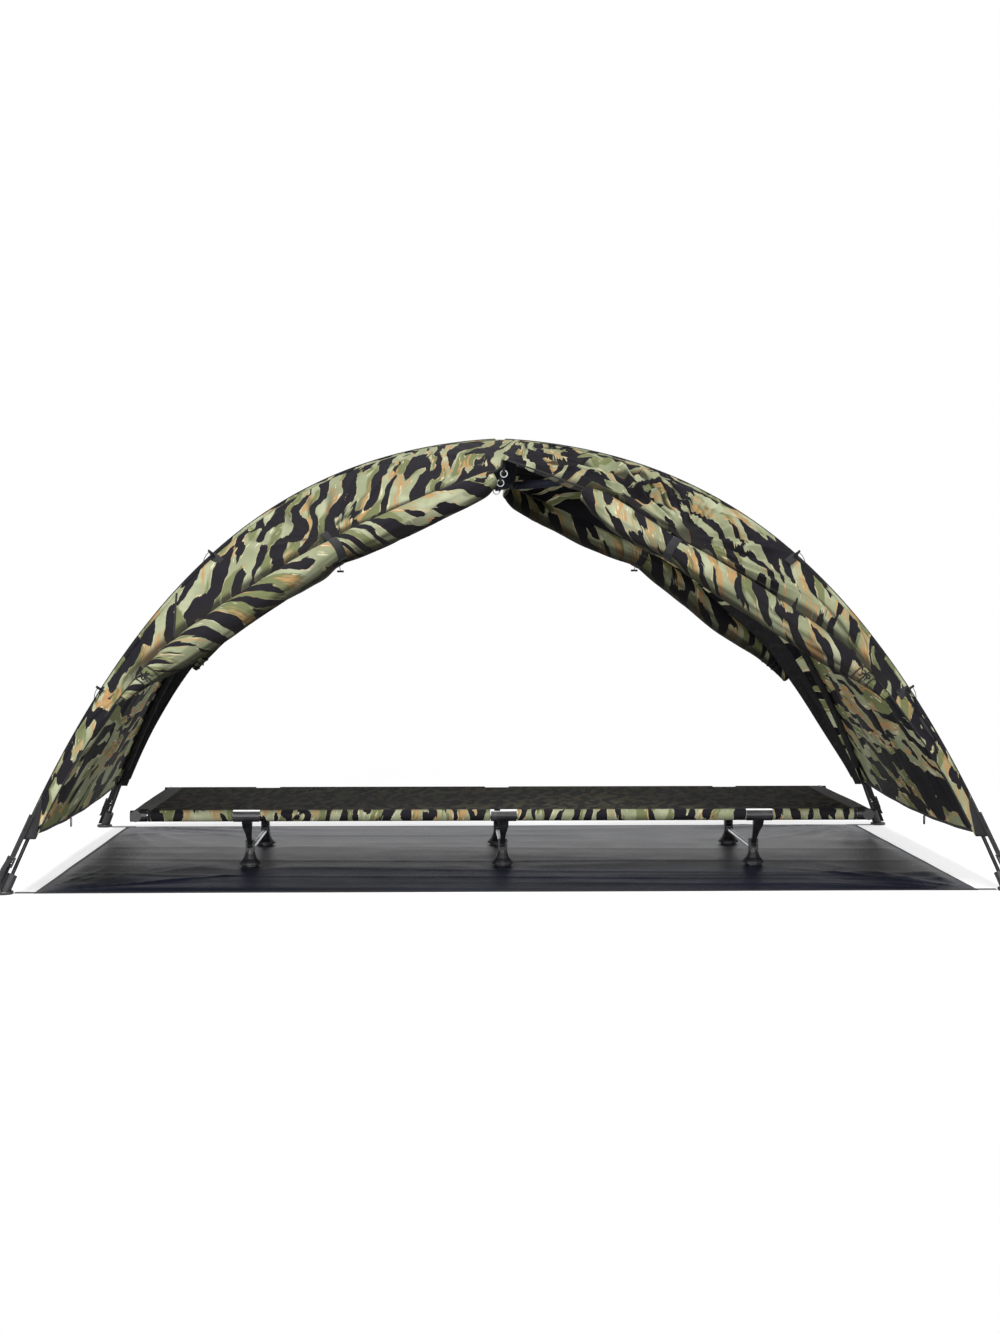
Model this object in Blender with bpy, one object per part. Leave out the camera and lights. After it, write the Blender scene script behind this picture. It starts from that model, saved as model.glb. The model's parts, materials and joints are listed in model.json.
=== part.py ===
"""Camping tent: a crossed dome fly with its side doors rolled up, over a ground sheet and a low cot.

Metres, +Z up. X runs along the cot, the open sides face -Y (front) and +Y (back).
The origin is on the ground under the middle of the tent.
"""

import math

import bmesh
import bpy
from mathutils import Matrix, Vector
from mathutils.geometry import tessellate_polygon

# Clearances
SEAM = 0.00025
SEAT = 0.0004
FIT = 0.0003
OVERRUN = 0.01

# Fly: the four ridges run from the apex to the feet of the poles
FLY_HEIGHT = 1.125
RIDGE_X = 1.20
RIDGE_Y = 0.76
ARCH_LINEAR = 0.10
ARCH_SQUARE = 0.45
ARCH_QUARTIC = 0.45
CLOTH = 0.002
RIDGE_KNOTS = (0.012, 0.075, 0.14, 0.20, 0.26, 0.33, 0.40, 0.47, 0.54, 0.61, 0.68, 0.745,
               0.81, 0.865, 0.915, 0.957)
HEM_DIP = 0.0085
END_SAG = 0.026
END_FOLD = 0.008
END_FOLDS = 5
FOLD_LEAN = 2.2
END_COLUMNS = 14
STRIP_COLUMNS = 3
HOOD_COLUMNS = 6
HOOD_EDGE = 0.26
STRIP_BULGE = 0.006

# Width of the fixed strip beside each ridge: fraction along the ridge, width
STRIP_WIDTHS = ((0.26, 0.312), (0.33, 0.391), (0.40, 0.381), (0.50, 0.325), (0.57, 0.256),
                (0.64, 0.202), (0.70, 0.146), (0.76, 0.082), (0.83, 0.054), (0.90, 0.038),
                (0.957, 0.034))

# Share of that width where a corner is drawn in or let out
TUCKS = {(1, -1): ((0.26, 1.0), (0.33, 0.80), (0.40, 0.79), (0.44, 0.77), (0.50, 0.84), (0.57, 1.0)),
         (-1, 1): ((0.26, 1.0), (0.36, 0.82), (0.70, 0.80), (0.80, 1.0)),
         (1, 1): ((0.66, 1.0), (0.76, 1.45), (0.83, 1.75), (0.90, 1.80), (0.957, 1.0))}
NO_TUCK = ((0.26, 1.0), (0.957, 1.0))

# Rolled doors: fraction along the ridge, radius of the roll; the front right one starts lower
# and the back ones are wound tighter at the foot
ROLL_TOP = ((0.355, 0.021), (0.375, 0.031), (0.42, 0.035))
ROLL_TOPS = {(1, -1): ((0.42, 0.018), (0.445, 0.032))}
ROLL_BODY = ((0.50, 0.039), (0.545, 0.036), (0.575, 0.028), (0.605, 0.036))
ROLL_FOOT = ((0.65, 0.040), (0.72, 0.040), (0.755, 0.037), (0.775, 0.030), (0.80, 0.017), (0.822, 0.009))
ROLL_FEET = {(-1, 1): ((0.65, 0.030), (0.685, 0.022), (0.72, 0.018), (0.775, 0.014), (0.805, 0.009)),
             (1, 1): ((0.65, 0.040), (0.72, 0.035), (0.755, 0.029), (0.775, 0.022), (0.80, 0.014), (0.822, 0.009))}
ROLL_SIDES = 10
ROLL_GAP = 0.0005
ROLL_LEVEL = 0.42
ROLL_FOLD = 0.16
DOOR_STEP = 0.01
ROLL_TWIST = 22.0
TIE_AT = 0.575
TIE_WIDTH = 0.014
TIE_CLOTH = 0.0016
TIE_REACH = 0.03
TIE_SIDES = 14

# Poles and their sleeves
POLE_R = 0.0048
FERRULE_R = 0.0057
FERRULES = (0.36, 0.705)
FERRULE_REACH = 0.016
FERRULE_TAPER = 0.003
POLE_START = 0.016
POLE_END = 0.992
SLEEVE_BORE_R = 0.0063
SLEEVE_R = 0.010
SLEEVE_START = 0.040
SLEEVE_END = 0.935
POLE_SIDES = 8
SLEEVE_SIDES = 8

# Crossing hub and what hangs from it
HUB_R = 0.030
HUB_RISE = 0.0045
HUB_DROP = 0.014
HUB_EDGE = 0.004
ARM_R = 0.0085
ARM_ROOT = 0.006
ARM_END = 0.037
HUB_SIDES = 20
ARM_SIDES = 10

# Hub cover: radius, drop below the hub
COVER_SHAPE = ((0.025, 0.0), (0.039, 0.012), (0.046, 0.035), (0.0445, 0.078), (0.030, 0.101))
COVER_DROP = 0.108
COVER_SIDES = 16

# Rolled strap: share of its length, radius
STRAP_ROLL_SHAPE = ((0.0, 0.007), (0.06, 0.0115), (0.45, 0.0125), (0.93, 0.0118), (1.0, 0.0075))
STRAP_ROLL_FROM = (0.0343, -0.012, -0.0989)
STRAP_ROLL_TO = (0.1663, -0.040, -0.0892)

# Foot sockets
FLANGE_R = 0.023
FLANGE_T = 0.008
FLANGE_EDGE = 0.002
FLANGE_SIDES = 16
CUP_R = 0.0125
CUP_ROOT = 0.006
CUP_LENGTH = 0.050
CUP_SIDES = 12

# Webbing and buckles
WEB_WIDTH = 0.020
WEB_T = 0.0014
STRAP_TOP = 0.938
STRAP_REACH = 0.0195
BUCKLE_AT = 0.62
BUCKLE_W = 0.030
BUCKLE_H = 0.026
BUCKLE_T = 0.004
BUCKLE_BAR = 0.004
TAB_AT = (0.607, 0.815)
TAB_LENGTH = 0.020
TAB_FOLD = 0.0050
TAB_CLOTH = 0.0014
TAB_EDGE = 0.0015
TAB_DEPTH = 0.012
TAB_STEP = 0.005

# Hem loops, zip flaps and pull rings
LOOP_LENGTH = 0.022
LOOP_WIDTH = 0.010
LOOP_DROP = 0.0006
LOOP_ARC = 12
FLAP_WIDTH = 0.016
FLAP_DROP = 0.062
FLAP_T = 0.002
FLAP_INSET = 0.004
SLIDER_W = 0.008
SLIDER_H = 0.014
SLIDER_T = 0.006
SLIDER_MARGIN = 0.004
SLIDER_EYE = 0.0056
RING_R = 0.009
RING_WIRE = 0.0014
RING_GAP_DEG = 50.0
RING_X = 0.009
RING_STAGGER = 0.024
RING_STEPS = 12
WIRE_SIDES = 6

# Ground sheet
SHEET_X = 1.12
SHEET_Y = 0.745
SHEET_T = 0.0012

# Cot
RAIL_Y = 0.340
RAIL_Z = 0.142
RAIL_R = 0.011
RAIL_SIDES = 12
RAIL_JOINT_X = 0.31
COLLAR_R = 0.0128
COLLAR_TAPER = 0.0015
COLLAR_LENGTH = 0.036
END_X = 0.935
CORNER_R = 0.0145
CORNER_REACH = 0.028
CORNER_GAP = 0.002
RAIL_OVERRUN = 0.008
DECK_SLEEVE_R = 0.015
DECK_BORE_R = 0.0132
DECK_CLOTH = 0.0014
DECK_TUCK = 0.0002
HEM_LIP = 0.0006
DECK_SLEEVE_SIDES = 16
LEG_X = 0.655
LEG_SETS = (("left", -LEG_X), ("centre", 0.0), ("right", LEG_X))

# Locking legs
PIVOT_Y = 0.240
PIVOT_Z = 0.058
PIN_R = 0.0025
EYE_R = 0.0085
EYE_WIDTH = 0.0124
EYE_SIDES = 12
EAR_T = 0.005
EAR_SIDE_GAP = 0.0003
EAR_REACH_Y = 0.0105
EAR_TOP = 0.069
EAR_FOOT = 0.040
SLOT_GAP = 0.0006
PAD_R = 0.022
BAR_R = 0.006
BAR_Z = 0.0425
BAR_SEAT = 0.012
BOSS_R = 0.0095
BOSS_REACH = 0.028
BOSS_SIDES = 10
CLIP_BORE_R = 0.0116
CLIP_WALL = 0.0042
CLIP_HALF = 0.033
NOTCH_HALF = 0.0345
NOTCH_Y = 0.318
NOTCH_REACH = 0.03
CLIP_STEPS = 8

# Lever strut: distance from the pivot, width, front face, back face; then its head against the clip
STRUT_SHAPE = ((0.0, 0.0120, -0.0055, 0.0055), (0.030, 0.0124, -0.0050, 0.0055),
               (0.060, 0.0165, -0.0045, 0.0065), (0.095, 0.025, -0.0020, 0.0120))
STRUT_HEAD = (0.025, 0.0, 0.0140)
STRUT_GAP = 0.0004

# Foot skirt: radius, height
SKIRT_SHAPE = ((0.0285, 0.0060), (0.0285, 0.0110), (0.0190, 0.0210), (0.0135, 0.0340), (0.0115, 0.0440))
SKIRT_SIDES = 14
PAD_TOP = 0.008
PIN_SIDES = 8

SIDES = (("front_left", -1, -1), ("front_right", 1, -1), ("back_left", -1, 1), ("back_right", 1, 1))

COLOURS = {
    "camo_cloth": ((0.36, 0.39, 0.22), 0.75, 0.0),
    "sheet_cloth": ((0.05, 0.05, 0.06), 0.5, 0.0),
    "webbing": ((0.02, 0.02, 0.022), 0.8, 0.0),
    "navy_cloth": ((0.02, 0.022, 0.035), 0.6, 0.0),
    "black_plastic": ((0.015, 0.015, 0.017), 0.45, 0.0),
    "black_tube": ((0.02, 0.02, 0.022), 0.35, 0.8),
    "bare_metal": ((0.75, 0.76, 0.78), 0.3, 1.0),
}
SHARP_DEG = 40


def clear_scene():
    for item in list(bpy.data.objects):
        bpy.data.objects.remove(item)


def material(name):
    """One Principled material for each finish."""
    found = bpy.data.materials.get(name)
    if found:
        return found
    colour, roughness, metallic = COLOURS[name]
    made = bpy.data.materials.new(name)
    made.use_nodes = True
    shader = made.node_tree.nodes["Principled BSDF"]
    shader.inputs["Base Color"].default_value = (*colour, 1.0)
    shader.inputs["Roughness"].default_value = roughness
    shader.inputs["Metallic"].default_value = metallic
    return made


def add_object(name, mesh, finish, parent=None, location=(0, 0, 0)):
    """A named object, shaded smooth except at its sharp edges."""
    mesh.materials.clear()
    mesh.materials.append(material(finish))
    mesh.shade_smooth()
    mesh.set_sharp_from_angle(angle=math.radians(SHARP_DEG))
    item = bpy.data.objects.new(name, mesh)
    bpy.context.collection.objects.link(item)
    item.location = location
    if parent:
        item.parent = parent
    return item


def add_empty(name):
    item = bpy.data.objects.new(name, None)
    bpy.context.collection.objects.link(item)
    return item


def mesh_from(name, points, faces):
    """A mesh with its faces turned outward."""
    mesh = bpy.data.meshes.new(name)
    mesh.from_pydata([tuple(p) for p in points], [], faces)
    work = bmesh.new()
    work.from_mesh(mesh)
    bmesh.ops.recalc_face_normals(work, faces=work.faces)
    work.to_mesh(mesh)
    work.free()
    return mesh


def moved(mesh, offset):
    mesh.transform(Matrix.Translation(Vector(offset)))
    return mesh


def combine(base, tools, operation):
    """base with each tool united with it or cut from it."""
    holder = bpy.data.objects.new("work", base)
    bpy.context.collection.objects.link(holder)
    for tool in tools:
        cutter = bpy.data.objects.new("cutter", tool)
        cutter.hide_render = True
        cutter.display_type = "WIRE"
        bpy.context.collection.objects.link(cutter)
        step = holder.modifiers.new("step", "BOOLEAN")
        step.object = cutter
        step.operation = operation
        step.solver = "EXACT"
        graph = bpy.context.evaluated_depsgraph_get()
        result = bpy.data.meshes.new_from_object(holder.evaluated_get(graph))
        holder.modifiers.clear()
        holder.data = result
        bpy.data.objects.remove(cutter)
    bpy.data.objects.remove(holder)
    return result


def loft(name, rings, closed=False):
    """Rings of equal counts joined in turn, with flat ends unless the rings close on themselves."""
    count = len(rings[0])
    points = [p for ring in rings for p in ring]
    faces = []
    last = len(rings) if closed else len(rings) - 1
    for i in range(last):
        here = i * count
        there = (i + 1) % len(rings) * count
        for j in range(count):
            k = (j + 1) % count
            faces.append((here + j, here + k, there + k, there + j))
    if not closed:
        faces.append(tuple(range(count)))
        faces.append(tuple(range(len(points) - count, len(points))))
    return mesh_from(name, points, faces)


def ring_about(centre, axis, radius, sides, up=(0, 0, 1)):
    """Points on a circle, square to axis, the first one towards up."""
    axis = Vector(axis).normalized()
    first = (Vector(up) - axis * axis.dot(Vector(up))).normalized()
    second = axis.cross(first)
    turn = [2 * math.pi * k / sides for k in range(sides)]
    return [Vector(centre) + radius * (math.cos(a) * first + math.sin(a) * second) for a in turn]


def rod(name, start, end, radius, sides, up=(0, 0, 1)):
    axis = Vector(end) - Vector(start)
    if abs(axis.normalized().dot(Vector(up))) > 0.99:
        up = (1, 0, 0)
    return loft(name, [ring_about(p, axis, radius, sides, up) for p in (start, end)])


def tangents(points):
    """Directions along a line of points, mean of the runs on each side."""
    found = []
    for i in range(len(points)):
        before = points[max(i - 1, 0)]
        after = points[min(i + 1, len(points) - 1)]
        found.append((after - before).normalized())
    return found


def tube(name, points, radii, sides, bore=None):
    """A rod along points, or a hollow one where bore gives the inner radii."""
    ways = tangents(points)
    outer = [ring_about(p, d, r, sides) for p, d, r in zip(points, ways, radii)]
    if bore is None:
        return loft(name, outer)
    inner = [ring_about(p, d, r, sides) for p, d, r in zip(points, ways, bore)]
    return loft(name, outer + inner[::-1], closed=True)


def revolve(name, profile, sides):
    """A turned solid about Z from (radius, height) points that start and end on the axis."""
    points = [Vector((0, 0, profile[0][1]))]
    rings = []
    for radius, height in profile[1:-1]:
        rings.append(len(points))
        for k in range(sides):
            a = 2 * math.pi * k / sides
            points.append(Vector((radius * math.cos(a), radius * math.sin(a), height)))
    points.append(Vector((0, 0, profile[-1][1])))
    faces = []
    for k in range(sides):
        n = (k + 1) % sides
        faces.append((0, rings[0] + k, rings[0] + n))
        faces.append((len(points) - 1, rings[-1] + n, rings[-1] + k))
        for low, high in zip(rings, rings[1:]):
            faces.append((low + k, high + k, high + n, low + n))
    return mesh_from(name, points, faces)


def prism(name, loops, place, low, high):
    """Flat outline with holes, drawn out from low to high; place turns (u, v, depth) into a point."""
    flat = [[Vector((u, v, 0)) for u, v in loop] for loop in loops]
    triangles = tessellate_polygon(flat)
    total = sum(len(loop) for loop in loops)
    points = [place(u, v, depth) for depth in (low, high) for loop in loops for u, v in loop]
    faces = [tuple(t) for t in triangles]
    faces += [tuple(total + i for i in t[::-1]) for t in triangles]
    start = 0
    for loop in loops:
        for j in range(len(loop)):
            k = (j + 1) % len(loop)
            faces.append((start + j, start + k, total + start + k, total + start + j))
        start += len(loop)
    return mesh_from(name, points, faces)


def box(name, low, high):
    (x0, y0, z0), (x1, y1, z1) = low, high
    outline = [(x0, y0), (x1, y0), (x1, y1), (x0, y1)]
    return prism(name, [outline], lambda u, v, w: Vector((u, v, w)), z0, z1)


def shell(name, outer, inner):
    """A closed sheet between two grids of points."""
    rows = len(outer)
    columns = len(outer[0])
    points = [p for row in outer for p in row] + [p for row in inner for p in row]
    back = rows * columns
    faces = []
    for i in range(rows - 1):
        for j in range(columns - 1):
            a = i * columns + j
            b = a + columns
            faces.append((a, a + 1, b + 1, b))
            faces.append((back + a, back + b, back + b + 1, back + a + 1))
    rim = [i for i in range(columns)]
    rim += [i * columns + columns - 1 for i in range(1, rows)]
    rim += [(rows - 1) * columns + j for j in range(columns - 2, -1, -1)]
    rim += [i * columns for i in range(rows - 2, 0, -1)]
    for a, b in zip(rim, rim[1:] + rim[:1]):
        faces.append((a, b, back + b, back + a))
    return mesh_from(name, points, faces)


# Shape of the fly

def ridge_height(t):
    return FLY_HEIGHT * (1 - ARCH_LINEAR * t - ARCH_SQUARE * t ** 2 - ARCH_QUARTIC * t ** 4)


def ridge_fall(t):
    """How fast the ridge comes down, per unit of t."""
    return FLY_HEIGHT * (ARCH_LINEAR + 2 * ARCH_SQUARE * t + 4 * ARCH_QUARTIC * t ** 3)


def ridge(sx, sy, t):
    return Vector((sx * RIDGE_X * t, sy * RIDGE_Y * t, ridge_height(t)))


def end_normal(sx, t):
    return Vector((sx * ridge_fall(t), 0, RIDGE_X)).normalized()


def side_normal(sy, t):
    return Vector((0, sy * ridge_fall(t), RIDGE_Y)).normalized()


def mitre(sx, sy, t):
    """Outward step at a ridge that moves both of its cloth faces out by one."""
    end = end_normal(sx, t)
    side = side_normal(sy, t)
    return (end + side) / (1 + end.dot(side))


def table(rows, t):
    """Straight runs between the rows of a short table."""
    if t <= rows[0][0]:
        return rows[0][1]
    for (t0, v0), (t1, v1) in zip(rows, rows[1:]):
        if t <= t1:
            return v0 + (v1 - v0) * (t - t0) / (t1 - t0)
    return rows[-1][1]


def on_chords(curve, knots, t):
    """Point of curve at t, read from the straight runs between its knots."""
    for a, b in zip(knots, knots[1:]):
        if t <= b:
            break
    share = (t - a) / (b - a)
    return curve(a).lerp(curve(b), share)


def strip_width(sx, sy, t):
    share = table(TUCKS.get((sx, sy), NO_TUCK), t)
    return min(table(STRIP_WIDTHS, t) * share, RIDGE_X * t)


def roll_radii(sx, sy):
    return ROLL_TOPS.get((sx, sy), ROLL_TOP) + ROLL_BODY + ROLL_FEET.get((sx, sy), ROLL_FOOT)


def crease(sx, sy, t):
    """Lower edge of the fixed strip, where the rolled door hangs."""
    return Vector((sx * (RIDGE_X * t - strip_width(sx, sy, t)), sy * RIDGE_Y * t, ridge_height(t)))


def end_point(sx, t, v):
    """Outer face of an end panel: v runs from -1 to 1 between its two ridges."""
    y = v * (RIDGE_Y * t - SEAM)
    calm = (1 - v * v) ** 2
    sag = END_SAG * calm * math.sin(math.pi * min(t, 1))
    fold = END_FOLD * calm * t * math.cos(END_FOLDS * math.pi * v + FOLD_LEAN * t)
    base = Vector((sx * RIDGE_X * t, y, ridge_height(t)))
    return base - (sag + fold) * end_normal(sx, t)


def build_end_panel(side, sx):
    outer = []
    inner = []
    for t in RIDGE_KNOTS:
        row = []
        under = []
        for j in range(END_COLUMNS + 1):
            v = 2 * j / END_COLUMNS - 1
            at = t
            if t == RIDGE_KNOTS[-1]:
                at = t + HEM_DIP * (1 - v * v)
            point = end_point(sx, at, v)
            step = end_normal(sx, at)
            if abs(v) == 1:
                step = mitre(sx, v, at)
            row.append(point)
            under.append(point - CLOTH * step)
        outer.append(row)
        inner.append(under)
    add_object("fly_end_" + side, shell("fly_end_" + side, outer, inner), "camo_cloth")


def build_strip(corner, sx, sy):
    """Fixed cloth between a ridge and the crease over the rolled door."""
    outer = []
    inner = []
    knots = [t for t in RIDGE_KNOTS if t >= HOOD_EDGE]
    for t in knots:
        row = []
        under = []
        width = strip_width(sx, sy, t)
        normal = side_normal(sy, t)
        for j in range(STRIP_COLUMNS + 1):
            u = j / STRIP_COLUMNS
            x = sx * (RIDGE_X * t - SEAM - u * (width - SEAM))
            if j == STRIP_COLUMNS and abs(x) < SEAM:
                x = sx * SEAM
            bulge = STRIP_BULGE * math.sin(math.pi * u) * width / STRIP_WIDTHS[1][1]
            y = sy * RIDGE_Y * t
            if t == HOOD_EDGE:
                y += sy * SEAM
            point = Vector((x, y, ridge_height(t))) + bulge * normal
            step = mitre(sx, sy, t) if j == 0 else normal
            row.append(point)
            under.append(point - CLOTH * step)
        outer.append(row)
        inner.append(under)
    name = "fly_strip_" + corner
    mesh = combine(shell(name, outer, inner), [guy_tab(sx, sy, t) for t in TAB_AT], "UNION")
    add_object(name, mesh, "camo_cloth")


def guy_tab(sx, sy, t):
    """Folded webbing loop that stands out from a ridge, sewn to the strip beside it."""
    knots = [k for k in RIDGE_KNOTS if k >= HOOD_EDGE]
    here = on_chords(lambda k: ridge(sx, sy, k), knots, t)
    along = (on_chords(lambda k: ridge(sx, sy, k), knots, t + TAB_STEP) - here).normalized()
    out = mitre(sx, sy, t).normalized()
    inward = side_normal(sy, t).cross(along)
    if inward.x * sx > 0:
        inward = -inward
    base = here - side_normal(sy, t) * CLOTH / 2
    w = TAB_FOLD / 2
    c = TAB_CLOTH
    loops = [rectangle(-w, w, 0, TAB_LENGTH), rectangle(c - w, w - c, 2 * c, TAB_LENGTH - c)]
    return prism("tab", loops, lambda u, v, d: base + along * u + out * v + inward * d,
                 TAB_EDGE, TAB_EDGE + TAB_DEPTH)


def build_hood():
    """Cloth over the apex, from the front gable to the back one."""
    knots = [t for t in RIDGE_KNOTS if t <= HOOD_EDGE]
    rows = [(-1, t) for t in knots[::-1]] + [(1, t) for t in knots]
    outer = []
    inner = []
    for sy, t in rows:
        row = []
        under = []
        normal = side_normal(sy, t)
        for j in range(HOOD_COLUMNS + 1):
            v = 2 * j / HOOD_COLUMNS - 1
            point = Vector((v * (RIDGE_X * t - SEAM), sy * (RIDGE_Y * t), ridge_height(t)))
            if t == HOOD_EDGE:
                point.y -= sy * SEAM
            step = mitre(v, sy, t) if abs(v) == 1 else normal
            row.append(point)
            under.append(point - CLOTH * step)
        outer.append(row)
        inner.append(under)
    add_object("fly_hood", shell("fly_hood", outer, inner), "camo_cloth")


def door_frame(sx, sy, t):
    """Direction along the roll and direction down the cloth, at a knot."""
    near = max(t, ROLL_LEVEL)
    ahead = crease(sx, sy, min(near + DOOR_STEP, RIDGE_KNOTS[-1]))
    along = (ahead - crease(sx, sy, near - DOOR_STEP)).normalized()
    down = side_normal(sy, t).cross(along)
    if down.z > 0:
        down = -down
    return along, down.normalized()


def roll_seat(t):
    """Gap from the crease to the roll, wider where the tie passes between them."""
    near = max(0.0, 1 - abs(t - TIE_AT) / TIE_REACH)
    return ROLL_GAP + (TIE_CLOTH + 2 * SEAT) * near


def roll_centre(sx, sy, t, radius):
    """Middle of the roll, hung one radius below the crease."""
    point = on_chords(lambda k: crease(sx, sy, k), RIDGE_KNOTS, t)
    down = on_chords(lambda k: door_frame(sx, sy, k)[1], RIDGE_KNOTS, t).normalized()
    return point + down * (radius + roll_seat(t)), down


def build_roll(corner, sx, sy):
    """A half-door rolled up under its ridge, gathered at its lower end."""
    rings = []
    radii = roll_radii(sx, sy)
    stations = {t for t, _ in radii}
    stations |= {t for t in RIDGE_KNOTS if radii[0][0] < t < radii[-1][0]}
    rows = [(t, table(radii, t)) for t in sorted(stations)]
    centres = [roll_centre(sx, sy, t, r) for t, r in rows]
    ways = tangents([c for c, _ in centres])
    for (t, radius), (centre, down), way in zip(rows, centres, ways):
        first = (-down - way * way.dot(-down)).normalized()
        second = way.cross(first)
        ring = []
        for k in range(ROLL_SIDES):
            a = 2 * math.pi * k / ROLL_SIDES
            fold = ROLL_FOLD * math.sin(a / 2) ** 2 * (0.5 + 0.5 * math.sin(3 * a + ROLL_TWIST * t))
            reach = radius * (1 - fold)
            ring.append(centre + reach * (math.cos(a) * first + math.sin(a) * second))
        rings.append(ring)
    name = "door_roll_" + corner
    add_object(name, combine(loft(name, rings), [roll_tie(sx, sy)], "UNION"), "camo_cloth")


def roll_tie(sx, sy):
    """Elastic band drawn tight round the waist of a rolled door."""
    radius = table(roll_radii(sx, sy), TIE_AT)
    centre, down = roll_centre(sx, sy, TIE_AT, radius)
    along = door_frame(sx, sy, TIE_AT)[0]
    half = along * TIE_WIDTH / 2
    return rod("tie", centre - half, centre + half, radius + TIE_CLOTH, TIE_SIDES, -down)


# Poles

POLE_INSET = CLOTH + SEAT + SLEEVE_R
POLE_KNOTS = (POLE_START,) + RIDGE_KNOTS[1:] + (POLE_END,)


def pole_curve(sx, sy):
    return lambda t: ridge(sx, sy, t) - POLE_INSET * mitre(sx, sy, t)


def pole_point(sx, sy, t):
    return on_chords(pole_curve(sx, sy), POLE_KNOTS, t)


def pole_foot(sx, sy):
    """Where the line of the lowest run of pole meets the ground, and its direction upward."""
    low = pole_point(sx, sy, POLE_END)
    up = (pole_point(sx, sy, RIDGE_KNOTS[-1]) - low).normalized()
    return low - up * (low.z / up.z), up


def build_pole(corner, sx, sy):
    stations = [(t, POLE_R) for t in POLE_KNOTS]
    for middle in FERRULES:
        for step, radius in ((-1, POLE_R), (-1, FERRULE_R), (1, FERRULE_R), (1, POLE_R)):
            reach = FERRULE_REACH
            if radius == POLE_R:
                reach += FERRULE_TAPER
            stations.append((middle + step * reach, radius))
    stations.sort()
    points = [pole_point(sx, sy, t) for t, _ in stations]
    name = "pole_" + corner
    add_object(name, tube(name, points, [r for _, r in stations], POLE_SIDES), "black_tube")


def build_sleeve(corner, sx, sy):
    inside = [t for t in POLE_KNOTS if SLEEVE_START < t < SLEEVE_END]
    stations = [SLEEVE_START] + inside + [SLEEVE_END]
    points = [pole_point(sx, sy, t) for t in stations]
    outer = [SLEEVE_R] * len(points)
    bore = [SLEEVE_BORE_R] * len(points)
    name = "pole_sleeve_" + corner
    add_object(name, tube(name, points, outer, SLEEVE_SIDES, bore), "webbing")


def build_hub():
    """Crossing hub with four socket arms."""
    middle = pole_curve(1, 1)(0).z
    low = middle - HUB_DROP
    high = middle + HUB_RISE
    flat = HUB_R - HUB_EDGE
    body = revolve("hub", [(0, low), (flat, low), (HUB_R, low + HUB_EDGE), (HUB_R, high - HUB_EDGE),
                           (flat, high), (0, high)], HUB_SIDES)
    arms = []
    bores = []
    for _, sx, sy in SIDES:
        first = pole_point(sx, sy, POLE_START)
        way = (pole_point(sx, sy, RIDGE_KNOTS[1]) - first).normalized()
        tip = pole_point(sx, sy, ARM_END)
        arms.append(rod("arm", first - way * ARM_ROOT, tip, ARM_R, ARM_SIDES))
        bores.append(rod("bore", first - way * FIT, tip + way * OVERRUN, POLE_R + FIT, POLE_SIDES))
    mesh = combine(combine(body, arms, "UNION"), bores, "DIFFERENCE")
    add_object("crossing_hub", mesh, "black_plastic")
    return low


def build_hub_cover(top):
    """Cloth cup that hangs under the hub."""
    high = top - SEAT
    profile = [(0, high)] + [(radius, high - drop) for radius, drop in COVER_SHAPE]
    profile.append((0, high - COVER_DROP))
    add_object("hub_cover", revolve("hub_cover", profile, COVER_SIDES), "navy_cloth")


def build_rolled_strap(top):
    """Strap rolled up beside the hub cover, set out from the cover's top."""
    high = Vector((0, 0, top - SEAT))
    start = high + Vector(STRAP_ROLL_FROM)
    end = high + Vector(STRAP_ROLL_TO)
    points = [start.lerp(end, share) for share, _ in STRAP_ROLL_SHAPE]
    radii = [radius for _, radius in STRAP_ROLL_SHAPE]
    add_object("apex_strap", tube("apex_strap", points, radii, ROLL_SIDES), "navy_cloth")


def build_foot_socket(corner, sx, sy):
    foot, up = pole_foot(sx, sy)
    flat = FLANGE_R - FLANGE_EDGE
    profile = [(0, 0), (flat, 0), (FLANGE_R, FLANGE_EDGE), (FLANGE_R, FLANGE_T - FLANGE_EDGE),
               (flat, FLANGE_T), (0, FLANGE_T)]
    flange = moved(revolve("flange", profile, FLANGE_SIDES), foot)
    cup = rod("cup", foot + up * CUP_ROOT, foot + up * CUP_LENGTH, CUP_R, CUP_SIDES)
    low = pole_point(sx, sy, POLE_END)
    bore = rod("bore", low - up * FIT, foot + up * (CUP_LENGTH + OVERRUN), POLE_R + FIT, POLE_SIDES)
    mesh = combine(combine(flange, [cup], "UNION"), [bore], "DIFFERENCE")
    add_object("foot_socket_" + corner, mesh, "black_plastic")


def strap_line(sx, sy):
    """Ends of the corner strap and its outward direction."""
    foot, _ = pole_foot(sx, sy)
    step = mitre(sx, sy, STRAP_TOP)
    top = ridge(sx, sy, STRAP_TOP) + step * (WEB_T / 2 + SEAT)
    flat = Vector((step.x, step.y, 0)).normalized()
    low = foot + flat * STRAP_REACH
    low.z = FLANGE_T + WEB_T
    return top, low, flat


def build_corner_straps():
    """Webbing from each fly corner down to its foot, threaded through a buckle."""
    for corner, sx, sy in SIDES:
        top, low, flat = strap_line(sx, sy)
        down = (low - top).normalized()
        across = down.cross(flat).normalized()
        face = across.cross(down).normalized()
        if face.dot(flat) < 0:
            face = -face
        half = across * WEB_WIDTH / 2
        thick = face * WEB_T / 2
        rings = [[p - half - thick, p + half - thick, p + half + thick, p - half + thick]
                 for p in (top, low)]
        frame = buckle(top.lerp(low, BUCKLE_AT) - thick / 2, across, down, face)
        name = "corner_strap_" + corner
        add_object(name, combine(loft(name, rings), [frame], "UNION"), "webbing")


def rectangle(u0, u1, v0, v1):
    return [(u0, v0), (u1, v0), (u1, v1), (u0, v1)]


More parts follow.
